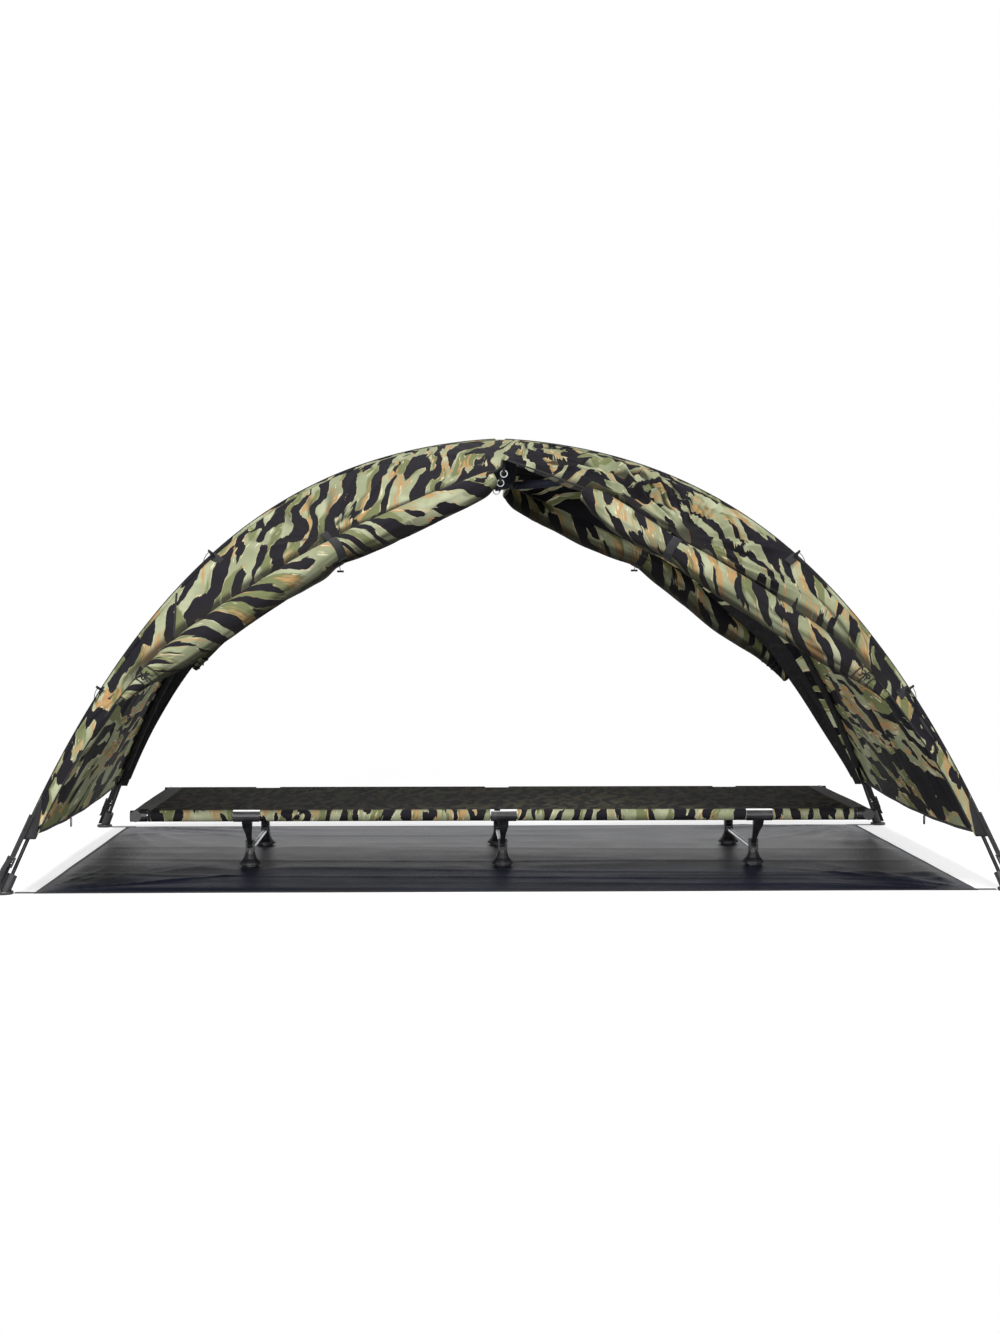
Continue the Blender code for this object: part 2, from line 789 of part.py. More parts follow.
def buckle(seat, across, down, face):
    """Ladder-lock frame: a plate with two slots and a bar between them."""
    w = BUCKLE_W / 2
    h = BUCKLE_H / 2
    b = BUCKLE_BAR
    loops = [rectangle(-w, w, -h, h), rectangle(b - w, w - b, b - h, -b / 2),
             rectangle(b - w, w - b, b / 2, h - b)]
    return prism("buckle", loops, lambda u, v, d: seat + across * u + down * v + face * d, 0, BUCKLE_T)


def build_ground_sheet():
    """Flat sheet with a short webbing link at each corner, ending at the foot flange."""
    outline = []
    for sx, sy in ((-1, -1), (1, -1), (1, 1), (-1, 1)):
        tip = abs(pole_foot(sx, sy)[0].x) - (FLANGE_R - FLANGE_EDGE + SHEET_T + FIT)
        inner = SHEET_Y - WEB_WIDTH
        corner = [(sx * SHEET_X, sy * (inner - HEM_LIP)), (sx * tip, sy * inner), (sx * tip, sy * SHEET_Y)]
        outline += corner[::-1] if sx * sy < 0 else corner
    mesh = prism("ground_sheet", [outline], lambda u, v, w: Vector((u, v, w)), 0, SHEET_T)
    add_object("ground_sheet", mesh, "sheet_cloth")


def build_hem_loop(side, sx):
    """Peg loop that swings about its round top, under the middle of an end hem."""
    t = RIDGE_KNOTS[-1] + HEM_DIP
    hem = end_point(sx, t, 0) - CLOTH / 2 * end_normal(sx, t)
    w = TAB_FOLD / 2
    c = TAB_CLOTH
    pivot = hem - Vector((0, 0, LOOP_DROP + w))
    turn = [math.pi * k / LOOP_ARC for k in range(LOOP_ARC + 1)]
    outline = [(-w, -LOOP_LENGTH), (w, -LOOP_LENGTH)] + [(w * math.cos(a), w * math.sin(a)) for a in turn]
    loops = [outline, rectangle(c - w, w - c, c - LOOP_LENGTH, 0)]
    mesh = prism("hem_loop", loops, lambda u, v, d: Vector((u, d, v)), -LOOP_WIDTH / 2, LOOP_WIDTH / 2)
    add_object("hem_loop_" + side, mesh, "webbing", location=pivot)


def build_zip_parts(side, sy):
    """Flap under a gable peak, with two sliders and their pull rings."""
    t = HOOD_EDGE
    slope = ridge_fall(t) / RIDGE_Y
    under = ridge_height(t) - CLOTH * math.hypot(1, slope)
    top = under + slope * (FLAP_INSET - FLAP_T / 2) - SEAT - SEAM
    y = sy * (RIDGE_Y * t - FLAP_INSET)
    flap = box("flap", (-FLAP_WIDTH / 2, y - FLAP_T / 2, top - FLAP_DROP),
               (FLAP_WIDTH / 2, y + FLAP_T / 2, top))
    sliders = []
    for k, sx in enumerate((-1, 1)):
        low = top - FLAP_DROP + SLIDER_MARGIN + RING_STAGGER * k
        front = y + sy * (FLAP_T / 2 - FIT)
        back = front + sy * SLIDER_T
        x = sx * RING_X / 2
        sliders.append(box("slider", (x - SLIDER_W / 2, min(front, back), low),
                           (x + SLIDER_W / 2, max(front, back), low + SLIDER_H)))
        hinge = Vector((x, back + sy * (RING_WIRE + FIT), low + SLIDER_EYE))
        name = "zip_pull_%s_%s" % (side, "left" if sx < 0 else "right")
        add_object(name, pull_ring(name), "bare_metal", location=hinge)
    add_object("zip_flap_" + side, combine(flap, sliders, "UNION"), "webbing")


def pull_ring(name):
    """Open ring of wire that hangs from its hinge."""
    gap = math.radians(RING_GAP_DEG)
    rings = []
    for k in range(RING_STEPS + 1):
        a = math.pi / 2 + gap / 2 + (2 * math.pi - gap) * k / RING_STEPS
        way = Vector((math.cos(a), 0, math.sin(a)))
        centre = way * RING_R - Vector((0, 0, RING_R))
        ring = []
        for j in range(WIRE_SIDES):
            b = 2 * math.pi * j / WIRE_SIDES
            ring.append(centre + RING_WIRE * (math.cos(b) * way + math.sin(b) * Vector((0, 1, 0))))
        rings.append(ring)
    return loft(name, rings)


# Cot

def circle(centre_u, centre_v, radius):
    turn = [2 * math.pi * k / DECK_SLEEVE_SIDES for k in range(DECK_SLEEVE_SIDES)]
    return [(centre_u + radius * math.cos(a), centre_v + radius * math.sin(a)) for a in turn]


def build_deck():
    """Deck cloth with a sleeve round each rail, cut away at the leg clips and the corners."""
    top = RAIL_Z + DECK_SLEEVE_R - DECK_TUCK
    end_x = END_X - CORNER_REACH - CORNER_GAP
    end_y = RAIL_Y - CORNER_REACH - CORNER_GAP
    outline = []
    for sx, sy in ((-1, -1), (1, -1), (1, 1), (-1, 1)):
        corner = [(sx * (end_x - HEM_LIP), sy * RAIL_Y), (sx * end_x, sy * end_y),
                  (sx * END_X, sy * (end_y - HEM_LIP))]
        outline += corner if sx * sy < 0 else corner[::-1]
    mesh = prism("deck", [outline], lambda u, v, w: Vector((u, v, w)), top - DECK_CLOTH, top)
    sleeves = []
    for s in (-1, 1):
        loops = [circle(s * RAIL_Y, RAIL_Z, r) for r in (DECK_SLEEVE_R, DECK_BORE_R)]
        sleeves.append(prism("sleeve", loops, lambda u, v, w: Vector((w, u, v)),
                             -end_x - HEM_LIP, end_x + HEM_LIP))
        loops = [circle(s * END_X, RAIL_Z, r) for r in (DECK_SLEEVE_R, DECK_BORE_R)]
        sleeves.append(prism("sleeve", loops, lambda u, v, w: Vector((u, w, v)),
                             -end_y - HEM_LIP, end_y + HEM_LIP))
    notches = []
    for _, x in LEG_SETS:
        for sy in (-1, 1):
            y0, y1 = sorted((sy * NOTCH_Y, sy * (RAIL_Y + NOTCH_REACH)))
            notches.append(box("notch", (x - NOTCH_HALF, y0, RAIL_Z - NOTCH_REACH),
                               (x + NOTCH_HALF, y1, RAIL_Z + NOTCH_REACH)))
    return combine(combine(mesh, sleeves, "UNION"), notches, "DIFFERENCE")


def build_side_rail(sy):
    """Rail of three lengths, with a collar over each joint."""
    end = END_X + RAIL_OVERRUN
    stations = [(-end, RAIL_R), (end, RAIL_R)]
    for x in (-RAIL_JOINT_X, RAIL_JOINT_X):
        for s in (-1, 1):
            stations.append((x + s * COLLAR_LENGTH / 2, COLLAR_R))
            stations.append((x + s * (COLLAR_LENGTH / 2 + COLLAR_TAPER), RAIL_R))
    stations.sort()
    points = [Vector((x, sy * RAIL_Y, RAIL_Z)) for x, _ in stations]
    return tube("side_rail", points, [r for _, r in stations], RAIL_SIDES)


def build_end_frame(sx):
    """End rail with a moulded corner at each end that takes a side rail."""
    rail = rod("end_rail", (sx * END_X, -RAIL_Y, RAIL_Z), (sx * END_X, RAIL_Y, RAIL_Z), RAIL_R,
               RAIL_SIDES)
    corners = []
    bores = []
    for sy in (-1, 1):
        middle = Vector((sx * END_X, sy * RAIL_Y, RAIL_Z))
        tip_y = middle + Vector((0, sy * CORNER_R, 0))
        tip_x = middle + Vector((sx * CORNER_R, 0, 0))
        arm_x = middle - Vector((sx * CORNER_REACH, 0, 0))
        arm_y = middle - Vector((0, sy * CORNER_REACH, 0))
        for tip, arm in ((tip_x, arm_x), (tip_y, arm_y)):
            corners.append(rod("arm", tip, arm, CORNER_R, RAIL_SIDES))
        stop = Vector((sx * (END_X + RAIL_OVERRUN + FIT), sy * RAIL_Y, RAIL_Z))
        bores.append(rod("bore", stop, arm_x - Vector((sx * OVERRUN, 0, 0)), RAIL_R + FIT, RAIL_SIDES))
    return combine(combine(rail, corners, "UNION"), bores, "DIFFERENCE")


def mirrored_y(mesh):
    """A copy of the mesh for the other side of the cot."""
    copy = mesh.copy()
    work = bmesh.new()
    work.from_mesh(copy)
    bmesh.ops.scale(work, vec=(1, -1, 1), verts=work.verts)
    bmesh.ops.recalc_face_normals(work, faces=work.faces)
    work.to_mesh(copy)
    work.free()
    return copy


def build_foot():
    """Front foot at x = 0: flared skirt, two ears for the lever and a boss for the cross bar."""
    middle = (0, -PIVOT_Y, 0)
    profile = [(0, SKIRT_SHAPE[0][1]), *SKIRT_SHAPE, (0, SKIRT_SHAPE[-1][1])]
    skirt = moved(revolve("foot", profile, SKIRT_SIDES), middle)
    half = EYE_WIDTH / 2 + EAR_SIDE_GAP
    head = box("head", (-half - EAR_T, -PIVOT_Y - EAR_REACH_Y, EAR_FOOT),
               (half + EAR_T, -PIVOT_Y + EAR_REACH_Y, EAR_TOP))
    boss = rod("boss", (0, -PIVOT_Y, BAR_Z), (0, -PIVOT_Y + BOSS_REACH, BAR_Z), BOSS_R, BOSS_SIDES)
    low = SHEET_T + FIT
    pad = moved(revolve("pad", [(0, low), (PAD_R, low), (PAD_R, PAD_TOP), (0, PAD_TOP)], SKIRT_SIDES), middle)
    slot = box("slot", (-half, -PIVOT_Y - EAR_REACH_Y - OVERRUN, PIVOT_Z - EYE_R - SLOT_GAP),
               (half, -PIVOT_Y + BOSS_REACH + OVERRUN, EAR_TOP + OVERRUN))
    bore = rod("bore", (0, -PIVOT_Y + BAR_SEAT, BAR_Z), (0, -PIVOT_Y + BOSS_REACH + OVERRUN, BAR_Z),
               BAR_R + FIT, PIN_SIDES)
    reach = half + EAR_T / 2
    pin = rod("pin", (-reach, -PIVOT_Y, PIVOT_Z), (reach, -PIVOT_Y, PIVOT_Z), PIN_R, PIN_SIDES)
    body = combine(combine(skirt, [head, boss, pad], "UNION"), [slot, bore], "DIFFERENCE")
    return combine(body, [pin], "UNION")


def lever_axes():
    """Pivot, distance to the rail, and the directions along and behind the front lever."""
    pivot = Vector((0, -PIVOT_Y, PIVOT_Z))
    reach = Vector((0, -RAIL_Y, RAIL_Z)) - pivot
    along = reach.normalized()
    behind = Vector((0, -along.z, along.y))
    return pivot, reach.length, along, behind


def build_lever():
    """Front lever at x = 0, about its pivot: eye, strut and the half-round clip that holds the rail."""
    _, reach, along, behind = lever_axes()
    eye = rod("eye", (-EYE_WIDTH / 2, 0, 0), (EYE_WIDTH / 2, 0, 0), EYE_R, EYE_SIDES)
    rings = []
    for distance, width, low, high in (*STRUT_SHAPE, (reach - CLIP_BORE_R - STRUT_GAP, *STRUT_HEAD)):
        base = along * distance
        w = Vector((width / 2, 0, 0))
        rings.append([base - w + behind * low, base + w + behind * low,
                      base + w + behind * high, base - w + behind * high])
    strut = loft("strut", rings)
    outer = CLIP_BORE_R + CLIP_WALL
    outline = []
    for radius, way in ((outer, 1), (CLIP_BORE_R, -1)):
        for k in range(CLIP_STEPS + 1)[::way]:
            a = math.pi * k / CLIP_STEPS
            outline.append((reach + radius * math.cos(a), radius * math.sin(a)))
    place = lambda u, v, w: along * u + behind * v + Vector((w, 0, 0))
    clip = prism("clip", [outline], place, -CLIP_HALF, CLIP_HALF)
    pin = rod("pin", (-EYE_WIDTH, 0, 0), (EYE_WIDTH, 0, 0), PIN_R + FIT, PIN_SIDES)
    return combine(combine(strut, [eye, clip], "UNION"), [pin], "DIFFERENCE")


def build_legs(cot):
    foot = build_foot()
    feet = {-1: foot, 1: mirrored_y(foot)}
    lever = build_lever()
    levers = {-1: lever, 1: mirrored_y(lever)}
    half_bar = PIVOT_Y - BAR_SEAT - FIT
    for label, x in LEG_SETS:
        bar = rod("bar", (x, -half_bar, BAR_Z), (x, half_bar, BAR_Z), BAR_R, PIN_SIDES)
        add_object("cross_bar_" + label, bar, "bare_metal", cot)
        for side, sy in (("front", -1), ("back", 1)):
            add_object("leg_foot_%s_%s" % (side, label), feet[sy].copy(), "black_plastic", cot, (x, 0, 0))
            add_object("leg_lever_%s_%s" % (side, label), levers[sy].copy(), "black_plastic", cot,
                       (x, sy * PIVOT_Y, PIVOT_Z))


def build_cot():
    cot = add_empty("cot")
    add_object("cot_deck", build_deck(), "camo_cloth", cot)
    for side, sx in (("left", -1), ("right", 1)):
        add_object("cot_end_frame_" + side, build_end_frame(sx), "black_plastic", cot)
    for side, sy in (("front", -1), ("back", 1)):
        add_object("cot_side_rail_" + side, build_side_rail(sy), "bare_metal", cot)
    build_legs(cot)


def build_tent():
    for corner, sx, sy in SIDES:
        build_pole(corner, sx, sy)
        build_sleeve(corner, sx, sy)
        build_foot_socket(corner, sx, sy)
        build_strip(corner, sx, sy)
        build_roll(corner, sx, sy)
    build_hood()
    for side, sx in (("left", -1), ("right", 1)):
        build_end_panel(side, sx)
        build_hem_loop(side, sx)
    hub_under = build_hub()
    build_hub_cover(hub_under)
    build_rolled_strap(hub_under)
    build_corner_straps()
    build_ground_sheet()
    for side, sy in (("front", -1), ("back", 1)):
        build_zip_parts(side, sy)


clear_scene()
build_tent()
build_cot()
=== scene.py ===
"""Camping tent dressed for its picture: cloth, rolled doors, trim, cot cloth and ground sheet."""

import json
from math import atan2, copysign, cos, degrees, dist, exp, hypot, pi, radians, sin

import bmesh
import bpy
import numpy as np
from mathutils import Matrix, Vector, noise


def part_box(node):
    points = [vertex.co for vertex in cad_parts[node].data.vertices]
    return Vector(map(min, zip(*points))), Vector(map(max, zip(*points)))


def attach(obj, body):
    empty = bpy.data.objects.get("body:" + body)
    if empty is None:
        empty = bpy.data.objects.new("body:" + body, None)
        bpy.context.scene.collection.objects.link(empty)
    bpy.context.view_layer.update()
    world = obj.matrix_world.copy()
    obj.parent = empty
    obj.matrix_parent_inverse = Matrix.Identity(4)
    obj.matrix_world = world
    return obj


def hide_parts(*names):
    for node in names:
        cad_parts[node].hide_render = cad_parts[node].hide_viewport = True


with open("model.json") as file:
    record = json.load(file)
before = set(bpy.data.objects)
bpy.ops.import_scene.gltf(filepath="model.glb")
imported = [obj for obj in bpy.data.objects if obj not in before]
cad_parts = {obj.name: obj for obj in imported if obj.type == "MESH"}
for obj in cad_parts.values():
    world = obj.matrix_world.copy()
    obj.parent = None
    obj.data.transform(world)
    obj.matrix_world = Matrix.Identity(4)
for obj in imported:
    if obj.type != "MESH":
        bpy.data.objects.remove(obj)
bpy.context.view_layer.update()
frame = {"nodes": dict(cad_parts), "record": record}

# Shape of the fly, as in the part's source
FLY_HEIGHT = 1.125
RIDGE_X = 1.20
RIDGE_Y = 0.76
ARCH = (0.10, 0.45, 0.45)
HOOD_EDGE = 0.26
HEM_T = 0.957
HEM_DIP = 0.0085
END_SAG = 0.026
END_FOLD = 0.008
END_FOLDS = 5
FOLD_LEAN = 2.2
STRIP_WIDTHS = ((0.26, 0.312), (0.33, 0.391), (0.40, 0.381), (0.50, 0.325), (0.57, 0.256),
                (0.64, 0.202), (0.70, 0.146), (0.76, 0.082), (0.83, 0.054), (0.90, 0.038),
                (0.957, 0.034))
TUCKS = {(1, -1): ((0.26, 1.0), (0.33, 0.80), (0.40, 0.79), (0.44, 0.77), (0.50, 0.84),
                   (0.57, 1.0)),
         (-1, 1): ((0.26, 1.0), (0.36, 0.82), (0.70, 0.80), (0.80, 1.0)),
         (1, 1): ((0.66, 1.0), (0.76, 1.45), (0.83, 1.75), (0.90, 1.80), (0.957, 1.0))}
NO_TUCK = ((0.26, 1.0), (0.957, 1.0))
ROLL_TOP = ((0.355, 0.021), (0.375, 0.031), (0.42, 0.035))
ROLL_TOPS = {(1, -1): ((0.42, 0.018), (0.445, 0.032))}
ROLL_BODY = ((0.50, 0.039), (0.545, 0.036), (0.575, 0.028), (0.605, 0.036))
ROLL_FOOT = ((0.65, 0.040), (0.72, 0.040), (0.755, 0.037), (0.775, 0.030), (0.80, 0.017),
             (0.822, 0.009))
ROLL_FEET = {(-1, 1): ((0.65, 0.030), (0.685, 0.022), (0.72, 0.018), (0.775, 0.014),
                       (0.805, 0.009)),
             (1, 1): ((0.65, 0.040), (0.72, 0.035), (0.755, 0.029), (0.775, 0.022), (0.80, 0.014),
                      (0.822, 0.009))}
ROLL_LEVEL = 0.42
TIE_AT = 0.575
SLEEVE_R = 0.010
SEAT = 0.0004
CORNERS = (("front_left", -1, -1), ("front_right", 1, -1), ("back_left", -1, 1),
           ("back_right", 1, 1))
QUARTERS = ((-1, -1), (1, -1), (1, 1), (-1, 1))


# Materials

STRIPE_PITCH = 0.050
WAVE_SCALE = 0.314  # a wave texture's scale times its pitch in metres


class Nodes:
    """A node tree whose nodes are added one by one."""

    def __init__(self, tree):
        self.tree = tree

    def feed(self, source, target):
        """Joins a socket, or sets a plain value."""
        if isinstance(source, bpy.types.NodeSocket):
            self.tree.links.new(source, target)
        else:
            target.default_value = source

    def node(self, kind, output=0, inputs=None, **settings):
        """Adds a node with these inputs, and gives one of its outputs."""
        made = self.tree.nodes.new("ShaderNode" + kind)
        for key, value in settings.items():
            setattr(made, key, value)
        for key, source in (inputs or {}).items():
            self.feed(source, made.inputs[key])
        return made.outputs[output]

    def sums(self, operation, a, b=0.0):
        return self.node("Math", 0, {0: a, 1: b}, operation=operation)

    def times(self, a, b):
        return self.sums("MULTIPLY", a, b)

    def plus(self, a, b):
        return self.sums("ADD", a, b)

    def seen(self):
        """1 where the camera looks, straight or by a reflection."""
        return self.sums("MAXIMUM", self.node("LightPath", "Is Camera Ray"),
                         self.node("LightPath", "Is Glossy Ray"))


class Paint(Nodes):
    """A Principled material."""

    def __init__(self, name, base=(0.5, 0.5, 0.5), roughness=0.6, metallic=0.0, sheen=0.0,
                 specular=0.5):
        self.material = bpy.data.materials.new(name)
        self.material.use_nodes = True
        super().__init__(self.material.node_tree)
        self.shader = self.tree.nodes["Principled BSDF"]
        for key, value in (("Base Color", (*base, 1.0)), ("Roughness", roughness),
                           ("Metallic", metallic), ("Sheen Weight", sheen),
                           ("Specular IOR Level", specular)):
            self.shader.inputs[key].default_value = value

    def uv(self, layer="cloth"):
        return self.node("UVMap", "UV", uv_map=layer)

    def place(self):
        return self.node("TexCoord", "Object")

    def axis(self, vector, name):
        """One coordinate of a vector."""
        return self.node("SeparateXYZ", name, {0: vector})

    def mapped(self, vector, scale=(1, 1, 1), shift=(0, 0, 0), turn=0.0):
        return self.node("Mapping", "Vector", {"Vector": vector, "Scale": scale, "Location": shift,
                                               "Rotation": (0, 0, turn)})

    def noise(self, vector, scale=1.0, detail=2.0, roughness=0.5, output="Fac"):
        return self.node("TexNoise", output, {"Vector": vector, "Scale": scale, "Detail": detail,
                                              "Roughness": roughness})

    def wave(self, vector, pitch, direction="X", distortion=0.0):
        return self.node("TexWave", "Fac", {"Vector": vector, "Scale": WAVE_SCALE / pitch,
                                            "Distortion": distortion}, bands_direction=direction)

    def vectors(self, operation, a, b):
        second = "Scale" if operation == "SCALE" else 1
        return self.node("VectorMath", 0, {0: a, second: b}, operation=operation)

    def steps(self, value, low, high):
        """0 below low and 1 above high."""
        return self.node("MapRange", "Result", {"Value": value, "From Min": low, "From Max": high},
                         interpolation_type="SMOOTHSTEP")

    def mix(self, share, a, b):
        a, b = ((*c, 1.0) if isinstance(c, tuple) else c for c in (a, b))
        return self.node("Mix", 2, {0: share, 6: a, 7: b}, data_type="RGBA")

    def colour(self, source):
        self.feed(source, self.shader.inputs["Base Color"])

    def rough(self, source, reach, low):
        self.feed(self.plus(self.times(source, reach), low), self.shader.inputs["Roughness"])

    def bump(self, height, depth, strength=1.0):
        inputs = {"Distance": depth, "Strength": strength, "Height": height}
        earlier = self.shader.inputs["Normal"].links
        if earlier:
            inputs["Normal"] = earlier[0].from_socket
        self.feed(self.node("Bump", "Normal", inputs), self.shader.inputs["Normal"])


def weave(paint, vector, pitch, depth):
    """Fine threads over and under."""
    threads = paint.times(paint.wave(vector, pitch, "X"), paint.wave(vector, pitch, "Y"))
    paint.bump(threads, depth, 0.5)


def camo(name, fade=0.0, turn=0.0, shift=(0.0, 0.0, 0.0), reach=1.0, size=1.0, shaded=False,
         painted_light_gain=1.0, gloss=0.11):
    """Tiger stripes: near-black strokes over light olive, with tan edges and cream flecks."""
    paint = Paint(name, roughness=0.75, specular=gloss)
    flat = paint.mapped(paint.uv(), (size, size, 1.0), shift, turn)
    bent = flat
    for scale, detail, depth in ((4.5, 1.0, 0.11), (24.0, 2.0, 0.013)):
        warp = paint.vectors("SUBTRACT", paint.noise(flat, scale, detail, output="Color"),
                             (0.5, 0.5, 0.5))
        bent = paint.vectors("ADD", bent, paint.vectors("SCALE", warp, depth))
    long = 1.0 / reach

    def marks(across, along, detail, shift=(0, 0, 0), roughness=0.5):
        return paint.noise(paint.mapped(bent, (across, along, 1.0), shift), 1.0, detail, roughness)

    wander = marks(8.0, 9.0 * long, 1.0, (7.0, 1.0, 0.0))
    phase = paint.plus(paint.times(paint.axis(bent, "X"), 2 * pi / STRIPE_PITCH),
                       paint.times(wander, 13.0))
    band = paint.times(paint.sums("SINE", phase), 0.098)
    blocks = marks(23.0, 7.0 * long, 1.5, roughness=0.45)
    frayed = marks(170.0, 18.0, 2.0, (3.0, 1.0, 2.0))
    edge = paint.plus(band, blocks)
    edge = paint.plus(edge, paint.times(paint.sums("SUBTRACT", frayed, 0.5), 0.15))
    green = marks(20.0, 6.0 * long, 2.0, (9.0, 4.0, 7.0))
    tan = marks(26.0, 6.5 * long, 2.0, (2.0, 8.0, 5.0))
    fleck = marks(130.0, 20.0, 3.0, (5.0, 5.0, 1.0))
    patch = paint.noise(flat, 9.0, 3.0)
    base = paint.mix(paint.steps(patch, 0.40, 0.72), (0.255, 0.275, 0.165), (0.40, 0.42, 0.280))
    base = paint.mix(paint.steps(green, 0.525, 0.565), base, (0.150, 0.165, 0.075))
    warm = paint.times(paint.steps(tan, 0.53, 0.58), paint.steps(frayed, 0.40, 0.56))
    base = paint.mix(warm, base, (0.40, 0.235, 0.098))
    rim = paint.times(paint.steps(edge, 0.455, 0.50), paint.steps(fleck, 0.50, 0.60))
    base = paint.mix(rim, base, (0.52, 0.44, 0.27))
    base = paint.mix(paint.steps(fleck, 0.64, 0.70), base, (0.58, 0.56, 0.39))
    # Painted light: a brighter copy of the whole pattern.
    if painted_light_gain != 1.0:
        base = paint.vectors("SCALE", base, painted_light_gain)
    base = paint.mix(paint.steps(edge, 0.503, 0.511), base, (0.010, 0.009, 0.012))
    # Painted shade: the whole pattern mixed towards near-black.
    if fade:
        base = paint.mix(fade, base, (0.009, 0.008, 0.007))
    if shaded:
        base = paint.mix(paint.axis(paint.uv("shade"), "X"), base, (0.012, 0.011, 0.010))
    paint.colour(base)
    paint.rough(paint.noise(flat, 90.0, 2.0), 0.18, 0.62)
    paint.bump(paint.noise(flat, 30.0, 4.0, 0.6), 0.0020, 0.6)
    weave(paint, flat, 0.0012, 0.00025)
    ripstop = [paint.steps(paint.wave(flat, 0.006, way), 0.93, 1.0) for way in "XY"]
    paint.bump(paint.sums("MAXIMUM", *ripstop), 0.0002, 0.6)
    return paint.material


def dark_cloth(name, base, pitch=0.0014, crumple=0.0012):
    """Plain dark cloth, a little paler where it is worn."""
    paint = Paint(name, base, sheen=0.06, specular=0.25)
    flat = paint.uv()
    worn = tuple(min(1.0, c * 1.9 + 0.006) for c in base)
    paint.colour(paint.mix(paint.steps(paint.noise(flat, 60.0, 4.0, 0.6), 0.45, 0.8), base, worn))
    paint.rough(paint.noise(flat, 30.0, 3.0), 0.3, 0.60)
    paint.bump(paint.noise(flat, 55.0, 3.0), crumple, 0.5)
    weave(paint, flat, pitch, 0.0003)
    return paint.material


def webbing(name):
    """Woven tape: diagonal ribs along its length."""
    paint = Paint(name, (0.012, 0.012, 0.014), 0.66, sheen=0.06, specular=0.25)
    flat = paint.uv()
    ribs = paint.wave(paint.mapped(flat, turn=0.6), 0.0022, "X", 0.4)
    paint.colour(paint.mix(paint.steps(ribs, 0.2, 0.9), (0.006, 0.006, 0.007),
                           (0.020, 0.020, 0.023)))
    paint.rough(paint.noise(flat, 80.0, 3.0), 0.25, 0.5)
    paint.bump(ribs, 0.0005, 0.8)
    return paint.material


def ground_cloth():
    """Coated nylon with fine crumples. Its gloss is painted to fall off towards the front: a
    painted reflection gradient.
    """
    paint = Paint("ground_cloth", (0.012, 0.013, 0.017), 0.40, specular=0.25)
    paint.shader.inputs["Specular Tint"].default_value = (0.78, 0.87, 1.0, 1.0)
    flat = paint.uv()
    # Painted reflection: the specular level rises from the front of the sheet to its back.
    gloss = paint.times(paint.steps(paint.axis(flat, "Y"), -0.80, 0.15), 0.23)
    paint.feed(paint.plus(gloss, 0.03), paint.shader.inputs["Specular IOR Level"])
    cloud = paint.noise(paint.mapped(flat, (1.5, 4.0, 1.0)), 1.0, 3.0, 0.5)
    paint.colour(paint.mix(paint.steps(cloud, 0.35, 0.7), (0.005, 0.006, 0.011),
                           (0.010, 0.012, 0.022)))
    paint.rough(paint.noise(flat, 8.0, 2.0), 0.10, 0.35)
    paint.bump(paint.noise(paint.mapped(flat, (1.2, 12.0, 1.0)), 1.0, 1.5, 0.4), 0.0007, 0.4)
    paint.bump(paint.noise(flat, 60.0, 3.0), 0.0003, 0.3)
    weave(paint, flat, 0.0012, 0.0002)
    return paint.material


def plastic(name):
    """Moulded nylon: fine grain, and edges rubbed a little paler."""
    base = (0.013, 0.013, 0.015)
    paint = Paint(name, base, specular=0.45)
    place = paint.place()
    grain = paint.noise(place, 900.0, 2.0)
    flow = paint.noise(place, 30.0, 3.0)
    worn = tuple(c * 2.4 + 0.01 for c in base)
    edge = paint.node("NewGeometry", "Pointiness")
    rubbed = paint.times(paint.steps(edge, 0.53, 0.62), paint.steps(flow, 0.35, 0.65))
    paint.colour(paint.mix(rubbed, base, worn))
    paint.rough(flow, 0.2, 0.32)
    paint.bump(grain, 0.0003, 0.35)
    return paint.material


def metal(name, base, roughness, stretch=(4.0, 900.0, 900.0)):
    """Drawn tube: fine lines along its length and faint handling marks."""
    paint = Paint(name, base, roughness, metallic=1.0)
    place = paint.place()
    lines = paint.noise(paint.mapped(place, stretch), 1.0, 3.0)
    marks = paint.noise(place, 45.0, 4.0)
    dull = tuple(c * 0.72 for c in base)
    paint.colour(paint.mix(paint.steps(marks, 0.45, 0.75), base, dull))
    paint.rough(marks, 0.22, roughness - 0.08)
    paint.bump(lines, 0.0002, 0.25)
    return paint.material


